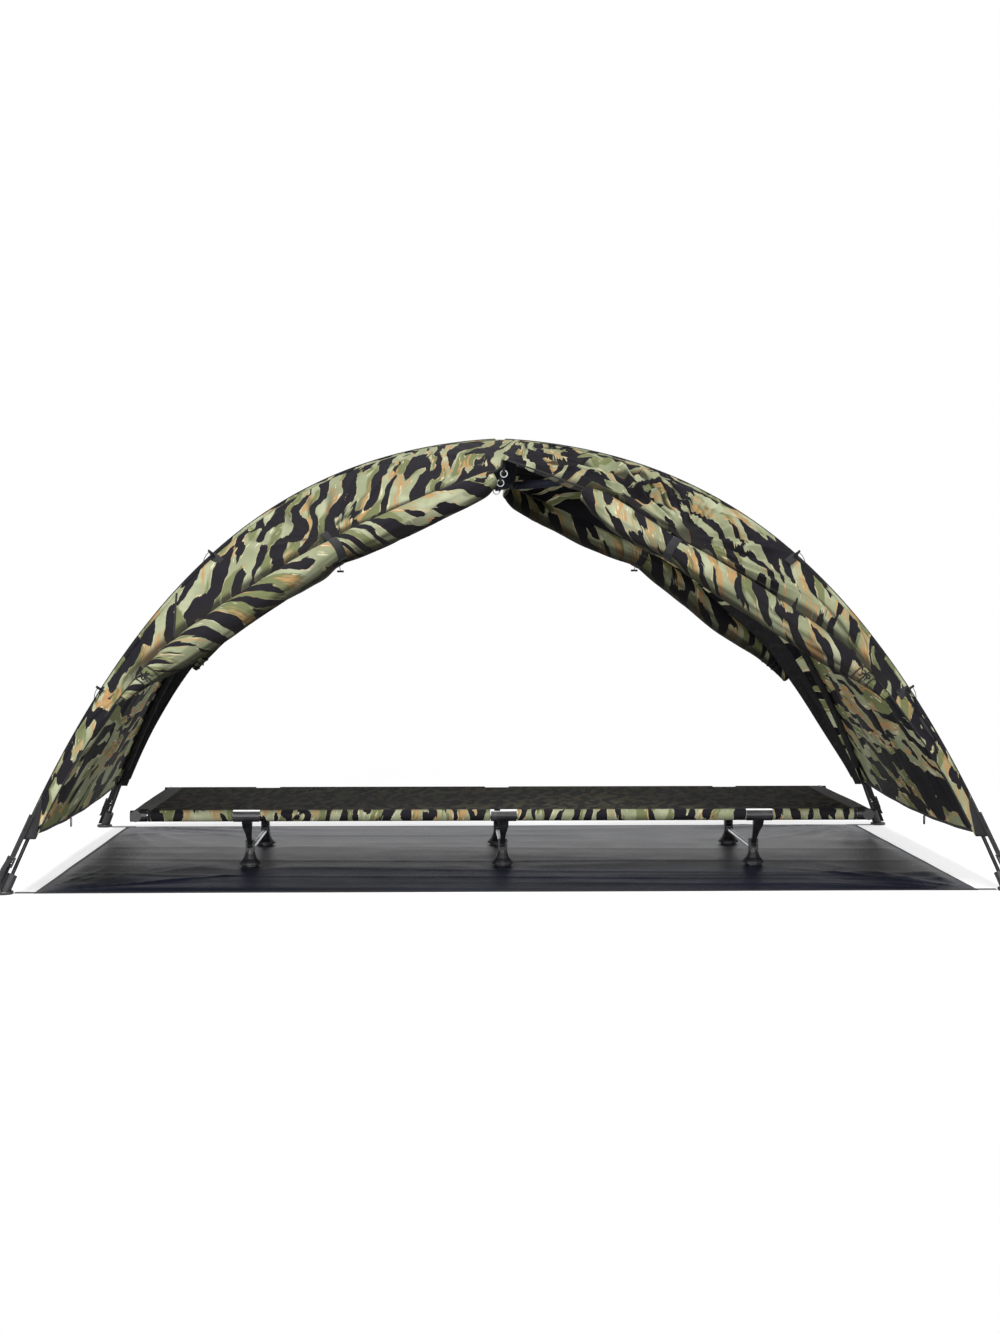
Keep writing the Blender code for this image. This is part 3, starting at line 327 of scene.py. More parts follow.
END_CLOTH = {"turn": pi / 2 + 0.2, "shift": (1.3, 0.7, 0.4), "size": 0.74}
DECK_CLOTH = {"turn": 0.12, "shift": (0.4, 2.2, 3.1), "size": 1.35}
MATERIALS = {
    "camo_front": camo("camo_front", turn=0.12, shaded=True),
    "camo_end": camo("camo_end", **END_CLOTH),
    # A brighter copy of the end cloth for the inside of the fly: painted light.
    "camo_inside_painted_light": camo("camo_inside_painted_light", painted_light_gain=1.85, **END_CLOTH),
    "camo_roll": camo("camo_roll", turn=0.75, shift=(2.1, 0.3, 1.9), reach=1.3, shaded=True),
    "camo_deck": camo("camo_deck", **DECK_CLOTH),
    # A darker, less glossy copy of the deck cloth for the deck's top: painted shade of the fly
    # above.
    "camo_bed_painted_shade": camo("camo_bed_painted_shade", fade=0.88, gloss=0.03, **DECK_CLOTH),
    "tape": webbing("tape"),
    "navy_cloth": dark_cloth("navy_cloth", (0.012, 0.014, 0.026)),
    "sleeve_cloth": dark_cloth("sleeve_cloth", (0.016, 0.016, 0.018), crumple=0.002),
    "binding": dark_cloth("binding", (0.012, 0.012, 0.013), pitch=0.0018),
    "ground_cloth": ground_cloth(),
    "black_plastic": plastic("black_moulding"),
    "black_tube": metal("black_anodised", (0.035, 0.035, 0.038), 0.36),
    "bare_metal": metal("bare_aluminium", (0.66, 0.67, 0.69), 0.34),
    "hook_metal": metal("hook_metal", (0.86, 0.86, 0.87), 0.3, (300.0, 300.0, 300.0)),
    "thread": dark_cloth("thread", (0.05, 0.052, 0.04), pitch=0.0008),
}


# Mesh helpers

def smoothstep(low, high, x):
    share = min(1.0, max(0.0, (x - low) / (high - low)))
    return share * share * (3 - 2 * share)


def wavy(x, y, seed):
    """Smooth noise from -1 to 1."""
    return noise.noise(Vector((x, y, seed * 7.31)))


def sharp(x, y, seed, power=1.0):
    """Noise with sharp crests, from 0 to 1."""
    return max(0.0, 1 - 2.2 * abs(wavy(x, y, seed))) ** power


def placed(name, data):
    item = bpy.data.objects.new(name, data)
    bpy.context.collection.objects.link(item)
    return item


def piece(name, mesh, looks, body="tent"):
    """A piece of the visual model, with its materials and the body it rides."""
    item = placed(name, mesh)
    for key in looks:
        mesh.materials.append(MATERIALS[key])
    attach(item, body)
    return item


def build_mesh(name, points, faces, uvs=None, smooth=True, marks=None):
    """Mesh with a pair of cloth coordinates for each point, and a material for each face."""
    mesh = bpy.data.meshes.new(name)
    mesh.from_pydata([tuple(p) for p in points], [], faces)
    if uvs:
        layer = mesh.uv_layers.new(name="cloth")
        for loop in mesh.loops:
            layer.data[loop.index].uv = uvs[loop.vertex_index]
    if marks:
        mesh.polygons.foreach_set("material_index", marks)
    mesh.polygons.foreach_set("use_smooth", [smooth] * len(mesh.polygons))
    mesh.update()
    return mesh


def grid_faces(rows, columns):
    """Faces of a grid of points that are held row by row."""
    starts = [i * (columns + 1) + j for i in range(rows) for j in range(columns)]
    return [(k, k + 1, k + columns + 2, k + columns + 1) for k in starts]


def ring_faces(rings, count, closed=False):
    """Faces between rings of points; closed joins the last ring to the first."""
    faces = []
    for i in range(rings if closed else rings - 1):
        a, b = i * count, (i + 1) % rings * count
        faces += [(a + k, a + (k + 1) % count, b + (k + 1) % count, b + k) for k in range(count)]
    return faces


def add_shade(mesh, shades):
    """Keeps the share of shade at each point as a second layer of coordinates."""
    layer = mesh.uv_layers.new(name="shade")
    for loop in mesh.loops:
        layer.data[loop.index].uv = (shades[loop.vertex_index], 0.0)


def outward(mesh, merge=0.0, shrink=0.0, facing=None):
    """Turns the faces outwards, and turns the mesh over where facing gives less than 0."""
    work = bmesh.new()
    work.from_mesh(mesh)
    if merge:
        bmesh.ops.remove_doubles(work, verts=work.verts, dist=merge)
    if shrink:
        bmesh.ops.dissolve_degenerate(work, edges=work.edges, dist=shrink)
    bmesh.ops.recalc_face_normals(work, faces=work.faces)
    if facing and facing(work.faces) < 0:
        bmesh.ops.reverse_faces(work, faces=work.faces)
    work.to_mesh(mesh)
    work.free()
    return mesh


def thicken(item, thickness, offset=-1):
    thick = item.modifiers.new("cloth", "SOLIDIFY")
    thick.thickness = thickness
    thick.offset = offset
    return thick


def angles(count):
    return [2 * pi * k / count for k in range(count)]


def round_about(a, b, turn):
    """Direction at an angle from a towards b."""
    return cos(turn) * a + sin(turn) * b


def sweep(name, path, rings):
    """Rings of equal counts joined along a path, with metre coordinates for the cloth."""
    count = len(rings[0])
    points = [p for ring in rings for p in ring]
    uvs = []
    run = 0.0
    for i, ring in enumerate(rings):
        if i:
            run += (path[i] - path[i - 1]).length
        girth = 0.0
        for j, p in enumerate(ring):
            if j:
                girth += (p - ring[j - 1]).length
            uvs.append((girth, run))
    faces = ring_faces(len(rings), count)
    faces.append(tuple(range(count))[::-1])
    faces.append(tuple(range(len(points) - count, len(points))))
    return outward(build_mesh(name, points, faces, uvs))


def frames_along(path):
    """Two directions square to a path at each of its points, carried along without twist."""
    ways = []
    for i in range(len(path)):
        ways.append((path[min(i + 1, len(path) - 1)] - path[max(i - 1, 0)]).normalized())
    up = Vector((0, 0, 1))
    first = (up - ways[0] * ways[0].dot(up)).normalized()
    sets = []
    for way in ways:
        first = (first - way * way.dot(first)).normalized()
        sets.append((first, way.cross(first), way))
    return sets


def round_sweep(name, path, radius, sides=10):
    radii = radius if hasattr(radius, "__len__") else [radius] * len(path)
    rings = [[point + r * round_about(a, b, turn) for turn in angles(sides)]
             for point, (a, b, _), r in zip(path, frames_along(path), radii)]
    return sweep(name, path, rings)


def tape_sweep(name, path, across, width, thick):
    """Flat tape: across gives its width direction at each point."""
    rings = []
    for point, wide, (_, _, way) in zip(path, across, frames_along(path)):
        wide = (wide - way * way.dot(wide)).normalized()
        normal = way.cross(wide)
        w = wide * width / 2
        n = normal * thick / 2
        soft = wide * min(thick, width / 4) / 2
        rings.append([point - w, point - w + soft - n, point + w - soft - n, point + w,
                      point + w - soft + n, point - w + soft + n])
    return sweep(name, path, rings)


def bend(points, steps=8):
    """Smooth curve through a few points."""
    points = [Vector(p) for p in points]
    made = []
    for i in range(len(points) - 1):
        p0 = points[max(i - 1, 0)]
        p1, p2 = points[i], points[i + 1]
        p3 = points[min(i + 2, len(points) - 1)]
        for k in range(steps):
            t = k / steps
            made.append(0.5 * (2 * p1 + (p2 - p0) * t + (2 * p0 - 5 * p1 + 4 * p2 - p3) * t * t
                               + (3 * p1 - p0 - 3 * p2 + p3) * t ** 3))
    made.append(points[-1])
    return made


# Shape of the fly

def ridge_height(t):
    return FLY_HEIGHT * (1 - ARCH[0] * t - ARCH[1] * t ** 2 - ARCH[2] * t ** 4)


def ridge_fall(t):
    return FLY_HEIGHT * (ARCH[0] + 2 * ARCH[1] * t + 4 * ARCH[2] * t ** 3)


def ridge(sx, sy, t):
    return Vector((sx * RIDGE_X * t, sy * RIDGE_Y * t, ridge_height(t)))


def end_normal(sx, t):
    return Vector((sx * ridge_fall(t), 0, RIDGE_X)).normalized()


def side_normal(sy, t):
    return Vector((0, sy * ridge_fall(t), RIDGE_Y)).normalized()


def mitre(sx, sy, t):
    end = end_normal(sx, t)
    side = side_normal(sy, t)
    return (end + side) / (1 + end.dot(side))


def table(rows, t, soften=0.0):
    """Value from a short table, averaged over a small reach where softened."""
    xs, ys = zip(*rows)
    if not soften:
        return float(np.interp(t, xs, ys))
    return float(np.mean([np.interp(t + d, xs, ys) for d in np.linspace(-soften, soften, 7)]))


def strip_width(sx, sy, t):
    if t <= HOOD_EDGE:
        return RIDGE_X * t
    share = table(TUCKS.get((sx, sy), NO_TUCK), t, 0.02)
    return min(table(STRIP_WIDTHS, t, 0.02) * share, RIDGE_X * t - 0.0004)


def roll_radii(sx, sy):
    return ROLL_TOPS.get((sx, sy), ROLL_TOP) + ROLL_BODY + ROLL_FEET.get((sx, sy), ROLL_FOOT)


def crease(sx, sy, t):
    return Vector((sx * (RIDGE_X * t - strip_width(sx, sy, t)), sy * RIDGE_Y * t, ridge_height(t)))


def arc_table(curve, stations):
    """Length along a curve at each station."""
    lengths = [0.0]
    for a, b in zip(stations, stations[1:]):
        lengths.append(lengths[-1] + (curve(b) - curve(a)).length)
    return lengths


# Camera and stage

CAMERA_ASIDE = -0.16
CAMERA_AWAY = 5.74
CAMERA_HEIGHT = 0.684
CAMERA_DOWN = 1.72
FLOOR_GLOW = 0.66
FLOOR_NEAR = 1.6
FLOOR_FAR = 3.4
FLOOR_HALF = 30
FLOOR_Z = -0.0005
AMBIENT = 0.14
WHITE = (1, 1, 1, 1)

# Lamps: place, target, size in metres, power in watts
LAMPS = (("key", (-0.9, -1.9, 5.4), (0, -0.2, 0.6), 1.3, 235),
         ("front", (-2.2, -5.6, 1.3), (0, -0.2, 0.5), 1.6, 195),
         ("side", (2.6, -5.2, 1.2), (-0.4, 0, 0.5), 1.6, 80),
         ("rim", (3.6, 3.2, 2.8), (0, 0, 0.6), 2.4, 40))


def make_camera():
    data = bpy.data.cameras.new("camera")
    data.lens = 57.25
    data.sensor_width = 36
    data.clip_end = 100
    camera = placed("camera", data)
    camera.location = (CAMERA_ASIDE, -CAMERA_AWAY, CAMERA_HEIGHT)
    yaw = atan2(CAMERA_ASIDE, CAMERA_AWAY)
    camera.rotation_euler = (radians(90 - CAMERA_DOWN), 0, yaw)
    bpy.context.scene.camera = camera


def make_floor():
    """White floor that keeps the shadow, and is plain white far out."""
    corners = [(x * FLOOR_HALF, y * FLOOR_HALF, FLOOR_Z) for x, y in QUARTERS]
    mesh = build_mesh("floor", corners, [(0, 1, 2, 3)])
    floor = placed("floor", mesh)
    paint = Paint("floor_paint", (0.46, 0.46, 0.46), 0.75, specular=0.2)
    seen = paint.seen()
    glow = paint.node("Emission", 0, {"Color": WHITE, "Strength": paint.times(seen, FLOOR_GLOW)})
    near = paint.node("AddShader", 0, {0: paint.shader.outputs[0], 1: glow})
    away = paint.node("VectorMath", "Value", {0: paint.place()}, operation="LENGTH")
    far = paint.times(paint.steps(away, FLOOR_NEAR, FLOOR_FAR), seen)
    blend = paint.node("MixShader", 0,
                       {0: far, 1: near, 2: paint.node("Emission", 0, {"Color": WHITE})})
    paint.feed(blend, paint.tree.nodes["Material Output"].inputs["Surface"])
    mesh.materials.append(paint.material)


def make_light():
    """White world that lights dimly, and soft lamps."""
    world = bpy.data.worlds.new("world")
    bpy.context.scene.world = world
    world.use_nodes = True
    sky = Nodes(world.node_tree)
    background = sky.tree.nodes["Background"]
    level = sky.node("MapRange", "Result", {"Value": sky.seen(), "To Min": AMBIENT, "To Max": 1.0})
    sky.feed(level, background.inputs["Strength"])
    sky.feed(WHITE, background.inputs["Color"])
    for lamp in LAMPS:
        add_lamp(*lamp)


def add_lamp(name, place, target, size, power):
    data = bpy.data.lights.new(name, "AREA")
    data.shape = "DISK"
    data.size = size
    data.energy = power
    lamp = placed(name, data)
    lamp.location = place
    lamp.rotation_euler = (Vector(target) - Vector(place)).to_track_quat("-Z", "Y").to_euler()


# Fly

APEX_PULL = (0.0, 1.070)
TIE_PULL = (0.452, 0.842)
KNOT_PULL = (0.905, 0.487)
FULL = 360.0
FAN_EDGE = 12


def fan(x, z, focus, frequency, depth, inner, outer, seed, low=-FULL, high=FULL):
    """Stress wrinkles that spread from a focus: height in metres at a point of the side view."""
    dx, dz = x - focus[0], z - focus[1]
    r = hypot(dx, dz)
    if r > outer or r < 1e-6:
        return 0.0
    a = degrees(atan2(dz, dx))
    if not low <= a <= high:
        return 0.0
    side = 1.0
    if low > -FULL:
        side = smoothstep(low, low + FAN_EDGE, a) * (1 - smoothstep(high - FAN_EDGE, high, a))
    fade = smoothstep(inner * 0.3, inner, r) * (1 - smoothstep(outer * 0.45, outer, r))
    fade *= min(1.0, r * 5.0)
    crest = sharp(radians(a) * frequency, r * 1.5, seed, 1.6)
    return depth * side * fade * (crest - 0.35)


# Wrinkle fans: focus, frequency, depth, inner and outer reach, seed, and a lowest and highest angle
SIDE_FANS = {
    "front_left": (((-0.44, 0.846), 3.4, 0.008, 0.05, 0.30, 3),
                   ((-0.905, 0.485), 3.6, 0.009, 0.05, 0.26, 5),
                   ((0.0, 1.06), 4.0, 0.004, 0.05, 0.5, 8)),
    "front_right": ((APEX_PULL, 12.0, 0.022, 0.05, 0.85, 11, -75, 12),
                    (TIE_PULL, 5.2, 0.026, 0.03, 0.50, 13),
                    (TIE_PULL, 10.0, 0.012, 0.05, 0.34, 17),
                    (KNOT_PULL, 4.0, 0.016, 0.04, 0.36, 15)),
    "back_left": (((-0.47, 0.85), 3.6, 0.009, 0.05, 0.32, 23),
                  ((-0.905, 0.485), 3.6, 0.009, 0.05, 0.26, 25),
                  ((0.0, 1.06), 5.0, 0.006, 0.05, 0.5, 28)),
    "back_right": (((0.45, 0.85), 3.4, 0.008, 0.05, 0.32, 33),
                   ((0.905, 0.485), 3.6, 0.009, 0.05, 0.26, 35),
                   ((0.0, 1.06), 5.0, 0.006, 0.05, 0.5, 38)),
}


def gathers(x, z, start, end, count, seed):
    """Narrow creases that leave one point and meet again at another."""
    far, near = dist((x, z), start), dist((x, z), end)
    turn = atan2(z - start[1], x - start[0]) - atan2(z - end[1], x - end[0])
    turn = turn % (2 * pi) - pi
    line = max(0.0, cos(turn * count + 3.0 * wavy(turn * 2.5, far * 3.0, seed))) ** 1.5
    line *= smoothstep(-0.45, 0.15, wavy(turn * 5.0, far * 3.0, seed + 1))
    return line * (1 - smoothstep(0.9, 1.6, abs(turn))) * min(1.0, far * 7) * min(1.0, near * 12)


def right_gathers(x, z):
    """Creases of the front right cloth: from the apex to the tie, and from the tie to the knot."""
    return max(gathers(x, z, APEX_PULL, TIE_PULL, 21, 101),
               0.8 * gathers(x, z, TIE_PULL, KNOT_PULL, 13, 105))


def crease_shade(corner, x, z, u, t, width):
    """Share of shade where the cloth is folded: beside the tie, and where it turns to the door."""
    beside = (1 - u) * width + 0.010 * wavy(t * 22, width, 106)
    fold = 1 - smoothstep(0.018, 0.046, beside)
    fold *= smoothstep(HOOD_EDGE + 0.02, HOOD_EDGE + 0.10, t)
    fold *= 1 - smoothstep(0.78, 0.83, t)
    if corner == "front_right":
        lines = smoothstep(0.35, 0.90, right_gathers(x, z))
        knot = 1 - smoothstep(0.012, 0.050, dist((x, z), TIE_PULL))
    elif corner == "front_left":
        r = dist((-x, z), TIE_PULL)
        a = atan2(z - TIE_PULL[1], -x - TIE_PULL[0])
        lines = max(0.0, cos(a * 11 + 2.0 * wavy(a * 2, r * 9, 104))) ** 2
        lines *= 1 - smoothstep(0.05, 0.17, r)
        knot = 1 - smoothstep(0.008, 0.026, r)
    else:
        lines = knot = 0.0
    return 0.86 * max(lines * smoothstep(0.02, 0.2, u), knot, fold)


def side_relief(corner, x, z, u, t):
    """Height of the wrinkles on a side panel, zero at the ridge."""
    total = -0.0085 * right_gathers(x, z) if corner == "front_right" else 0.0
    for spread in SIDE_FANS[corner]:
        total += fan(x, z, *spread)
    total += 0.0022 * wavy(x * 9, z * 9, 41) + 0.0016 * wavy(x * 24, z * 24, 43)
    total += 0.0035 * (sharp(x * 5.5 + z * 3, z * 7, 47, 2.0) - 0.2)
    edge = smoothstep(0.0, 0.34 if corner == "front_right" else 0.16, u)
    hem = 1 - smoothstep(0.86, HEM_T, t)
    return 1.25 * total * edge * (0.15 + 0.85 * hem)


SIDE_PATTERN = 8.0
STRIPE_LEAN = 0.10
PULL = -1.12
PULL_PIVOT = (0.05, 0.20)
RELEASE = 0.72
RELEASE_PIVOT = (0.55, 0.65)


def turned(point, pivot, angle):
    c, s = cos(angle), sin(angle)
    dx, dy = point[0] - pivot[0], point[1] - pivot[1]
    return pivot[0] + c * dx + s * dy, pivot[1] + c * dy - s * dx


def side_cloth(corner, x, run, t, sy):
    """Cloth coordinates of a side panel; the front right one is pulled round towards the apex."""
    spot = (x, run)
    if corner == "front_right":
        finer = 1 + 0.28 * smoothstep(0.0, 0.18, x)
        spot = (spot[0] * finer, PULL_PIVOT[1] + (spot[1] - PULL_PIVOT[1]) * finer)
        spot = turned(spot, RELEASE_PIVOT, RELEASE * smoothstep(0.30, 0.85, t))
        spot = turned(spot, PULL_PIVOT, PULL * smoothstep(0.0, 0.25, x))
    spot = turned(spot, PULL_PIVOT, STRIPE_LEAN)
    return spot[0] + SIDE_PATTERN, sy * spot[1]


def end_point(sx, t, v):
    calm = (1 - v * v) ** 2
    sag = END_SAG * calm * sin(pi * min(t, 1))
    hem = 0.85 * smoothstep(0.84, HEM_T, t)
    swing = END_FOLDS * pi * v
    fold = END_FOLD * calm * t * ((1 - hem) * cos(swing + FOLD_LEAN * t) + hem * cos(FOLD_LEAN * t))
    base = Vector((sx * RIDGE_X * t, v * RIDGE_Y * t, ridge_height(t)))
    return base - (sag + fold) * end_normal(sx, t)


def end_relief(sx, t, v):
    """Wrinkles of an end panel: long falls from the apex and the pole feet, and puckered seams."""
    y = v * RIDGE_Y * t
    seed = 50 if sx < 0 else 60
    calm = 1 - abs(v) ** 6
    run = t * 1.7
    total = 0.0060 * (sharp(v * 6.0, run * 0.9, seed, 1.8) - 0.3) * smoothstep(0.12, 0.5, t)
    folds = sharp(y * 9.0 + run * 1.2, run * 2.0, seed + 1, 2.0) - 0.25
    total += 0.0075 * folds * smoothstep(0.35, 0.85, t)
    for side in (-1, 1):
        a = degrees(atan2(side * RIDGE_Y - y, 1.9 - run))
        r = hypot(side * RIDGE_Y - y, 1.9 - run)
        spread = smoothstep(0.05, 0.2, r) * (1 - smoothstep(0.35, 0.9, r))
        total += 0.010 * spread * (sharp(radians(a) * 6.0, r, seed + 3 + side, 1.6) - 0.3)
    for line in (-0.34, 0.36):
        near = exp(-((v - line) / 0.045) ** 2)
        total += near * (-0.003 + 0.004 * wavy(run * 38, v * 5, seed + 7))
    total += 0.0022 * wavy(y * 9, run * 9, seed + 9)
    return 1.15 * total * calm * smoothstep(0.02, 0.2, t) * (1 - 0.97 * smoothstep(0.84, HEM_T, t))


def end_surface(sx, t, v):
    at = t + HEM_DIP * (1 - v * v) * smoothstep(0.9, HEM_T, t)
    return end_point(sx, at, v) + end_relief(sx, at, v) * end_normal(sx, at)


HOOD_ROWS = 40
SIDE_ROWS = 220


def sheet_rows():
    """Stations of the fly's rows, from the apex to the hem."""
    hood = [HOOD_EDGE * i / HOOD_ROWS for i in range(HOOD_ROWS + 1)]
    return hood + [HOOD_EDGE + (HEM_T - HOOD_EDGE) * i / SIDE_ROWS for i in range(1, SIDE_ROWS + 1)]


# From here down, the inside of the side cloths is dark sleeve cloth: painted shade.
PAINTED_SHADE_TOP = 0.70
PAINTED_SHADE_FROM = {"back_right": 0.45}
END_ACROSS = 100
SIDE_ACROSS = 64
PULLED_ACROSS = 120
END_PATTERN = 4.0
PUFF = 0.006
PUFF_WIDTH = 0.39
FLY_CLOTH = 0.0011


def puff(u, width):
    """Bulge of a side cloth, largest at its middle and where it is wide."""
    return PUFF * sin(pi * u) * width / PUFF_WIDTH


def end_grid(sx, rows):
    """Points of an end panel, and their cloth coordinates."""
    runs = arc_table(lambda t: Vector((RIDGE_X * t, 0, ridge_height(t))), rows)
    across = [2 * j / END_ACROSS - 1 for j in range(END_ACROSS + 1)]
    grid = [[end_surface(sx, t, v) for v in across] for t in rows]
    flat = [[(v * RIDGE_Y * t + END_PATTERN * (sx > 0), run) for v in across]
            for t, run in zip(rows, runs)]
    return grid, flat


def side_grid(corner, sx, sy, rows, across):
    """Points of a side cloth, their cloth coordinates and shade, and the edges of its pattern."""
    runs = arc_table(lambda t: Vector((0, RIDGE_Y * t, ridge_height(t))), rows)
    face = "front_" if sy < 0 else "back_"
    grid, flat, shades, cut = [], [], [], []
    for t, run in zip(rows, runs):
        width = strip_width(sx, sy, t)
        normal = side_normal(sy, t)
        line, spots, tones = [], [], []
        for j in range(across + 1):
            u = j / across
            x = sx * (RIDGE_X * t - u * width)
            base = Vector((x, sy * RIDGE_Y * t, ridge_height(t)))
            if t <= HOOD_EDGE and u == 1:
                lift = 0.5 * sum(side_relief(face + hand, x, base.z, u, t)
                                 for hand in ("left", "right"))
            else:
                lift = side_relief(corner, x, base.z, u, t)
            line.append(base + (puff(u, width) + lift) * normal)
            spots.append(side_cloth(corner, x, run, t, sy))
            tones.append(crease_shade(corner, x, base.z, u, t, width))
        grid.append(line)
        flat.append(spots)
        shades.append(tones)
        cut.append([(RIDGE_X * t, run), (RIDGE_X * t - width, run)])
    return grid, flat, shades, cut


def build_canopy():
    """The whole fly as one sheet: two end panels and the four cloths beside the doors."""
    rows = sheet_rows()
    points, faces, uvs, tones, marks = [], [], [], [], []

    def add_patch(grid, flat, shades, flip, mark):
        start = len(points)
        for line, spots, shade in zip(grid, flat, shades):
            points.extend(line)
            uvs.extend(spots)
            tones.extend(shade)
        for face in grid_faces(len(grid) - 1, len(grid[0]) - 1):
            face = [start + k for k in face]
            faces.append(face[::-1] if flip else face)
            marks.append(mark)

    for sx in (-1, 1):
        grid, flat = end_grid(sx, rows)
        add_patch(grid, flat, [[0.0] * len(line) for line in grid], sx < 0, 0)
    for corner, sx, sy in CORNERS:
        across = PULLED_ACROSS if corner == "front_right" else SIDE_ACROSS
        grid, flat, shades, cut = side_grid(corner, sx, sy, rows, across)
        add_patch(grid, flat, shades, sx * sy > 0, 1)
        # Lower rows of each side cloth take dark sleeve cloth on their inside: painted shade.
        painted_shade_rows = len(grid) - 1 - next(i for i, t in enumerate(rows) if t > PAINTED_SHADE_TOP)
        plain = round(across * PAINTED_SHADE_FROM.get(corner, 0.0))
        marks[-painted_shade_rows * across:] = ([1] * plain + [2] * (across - plain)) * painted_shade_rows

    mesh = build_mesh("fly_canopy", points, faces, uvs, marks=marks)
    add_shade(mesh, tones)
    outward(mesh, 0.0002, 0.00005,
            lambda faces: max(faces, key=lambda f: f.calc_center_median().z).normal.z)
    finishes = ("camo_end", "camo_front", "camo_front", "camo_inside_painted_light", "camo_inside_painted_light",
                "sleeve_cloth")
    item = piece("fly_canopy", mesh, finishes)
    thick = thicken(item, FLY_CLOTH)
    thick.material_offset = 3
    thick.material_offset_rim = 0
    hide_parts("fly_hood", "fly_end_left", "fly_end_right",
                *["fly_strip_" + corner for corner, _, _ in CORNERS])


def door_frame(sx, sy, t):
    near = max(t, ROLL_LEVEL)
    ahead = crease(sx, sy, min(near + 0.02, HEM_T))
    along = (ahead - crease(sx, sy, near - 0.02)).normalized()
    down = side_normal(sy, t).cross(along)
    if down.z > 0:
        down = -down
    return along, down.normalized()


UNDER_SHADE = 0.88
ROLL_AROUND = 44
ROLL_STEPS = 120
ROLL_SQUEEZE = ((0.93, 0.0016), (0.7, 0.001), (0.35, -0.004))
ROLL_LOOK = {"front_left": (1, 0.2), "front_right": (2, 2.1), "back_left": (3, 1.2),
             "back_right": (4, 0.7)}


def roll_point(corner, sx, sy, t, a):
    """Point of a rolled door at an angle about its middle, and that middle."""
    seed, lean = ROLL_LOOK[corner]
    seed *= 10
    radius = table(roll_radii(sx, sy), t, 0.008)
    near = max(0.0, 1 - abs(t - TIE_AT) / 0.03)
    along, down = door_frame(sx, sy, t)
    middle = crease(sx, sy, t) + down * (radius + 0.0005 + 0.0024 * near)
    first = -down
    second = along.cross(first).normalized()
    phase = ((a - lean - 0.9 * sin(7 * t + seed)) / (2 * pi)) % 1.0
    wrap = 0.90 + 0.10 * phase
    run = t * 2.2
    c, s = cos(a), sin(a)
    long = noise.noise(Vector((c * 1.5 + seed, s * 1.5, run * 1.6)))
    crisp = max(0.0, 1 - 2.4 * abs(noise.noise(Vector((c * 1.9, s * 1.9 + seed, run * 2.6))))) ** 2
    gather = noise.noise(Vector((c * 5.5, s * 5.5 + seed, run * 1.3)))
    pinch = exp(-((t - TIE_AT) / 0.045) ** 2) + smoothstep(0.74, 0.80, t)
    pinch += 0.6 * (1 - smoothstep(0.36, 0.42, t))
    ripple = 0.085 * long + 0.075 * (crisp - 0.4) + 0.11 * gather * min(1.0, pinch)
    top = 1 - smoothstep(-0.2, 0.7, c)
    reach = radius * (wrap + ripple * (0.45 + 0.55 * top)) * 1.02
    if c > 0.6:
        reach = min(reach, radius / c)
    return middle + reach * (c * first + s * second), middle


def roll_end(middle, ring, way):
    """Rings that round off the end of a rolled door, each with its middle."""
    return [([middle + (p - middle) * share + way * push for p in ring], middle + way * push)
            for share, push in ROLL_SQUEEZE]


def build_roll(corner, sx, sy):
    """A half-door rolled up, with its free edge and gathers."""
    t0, t1 = roll_radii(sx, sy)[0][0], roll_radii(sx, sy)[-1][0]
    path, rings = [], []
    for i in range(ROLL_STEPS + 1):
        t = t0 + (t1 - t0) * i / ROLL_STEPS
        around = [roll_point(corner, sx, sy, t, a) for a in angles(ROLL_AROUND)]
        path.append(around[-1][1])
        rings.append([p for p, _ in around])
    first = roll_end(path[0], rings[0], (path[0] - path[1]).normalized())[::-1]
    last = roll_end(path[-1], rings[-1], (path[-1] - path[-2]).normalized())
    rings = [ring for ring, _ in first] + rings + [ring for ring, _ in last]
    path = [middle for _, middle in first] + path + [middle for _, middle in last]
    mesh = sweep("rolled_door", path, rings)
    under = []
    for v in mesh.vertices:
        upward = v.normal.z + 0.25 * wavy(v.co.x * 8, v.co.z * 8, 97)
        under.append(UNDER_SHADE * (1 - smoothstep(-0.75, 0.15, upward)))
    add_shade(mesh, under)
    item = piece("rolled_door_" + corner, mesh, ("camo_roll",))
    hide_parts("door_roll_" + corner)


STITCH_PITCH = 0.0042
STITCH_REACH = 0.00135
STITCH_HALF = 0.00045


def stitch_row(name, path, lift):
    """Thread dashes along a path; lift is the outward direction at each point of it."""
    points, faces = [], []
    left = STITCH_PITCH / 2
    for (a, b), (out_a, out_b) in zip(zip(path, path[1:]), zip(lift, lift[1:])):
        length = (b - a).length
        if length < 1e-9:
            continue
        way = (b - a) / length
        while left < length:
            middle = a + way * left
            out = out_a.lerp(out_b, left / length).normalized()
            side = way.cross(out).normalized()
            n = len(points)
            points += [middle - way * STITCH_REACH, middle + side * STITCH_HALF,
                       middle + out * STITCH_HALF, middle - side * STITCH_HALF,
                       middle - out * STITCH_HALF, middle + way * STITCH_REACH]
            for k in range(4):
                m = (k + 1) % 4
                faces += [(n, n + 1 + m, n + 1 + k), (n + 5, n + 1 + k, n + 1 + m)]
            left += STITCH_PITCH
        left -= length
    return piece(name, build_mesh(name, points, faces, [(p.x, p.z) for p in points]), ("thread",))


def joined(name, meshes, looks, body="tent", smooth=True):
    """Several meshes as one piece."""
    work = bmesh.new()
    for mesh in meshes:
        work.from_mesh(mesh)
    mesh = bpy.data.meshes.new(name)
    work.to_mesh(mesh)
    work.free()
    mesh.polygons.foreach_set("use_smooth", [smooth] * len(mesh.polygons))
    return piece(name, mesh, looks, body)


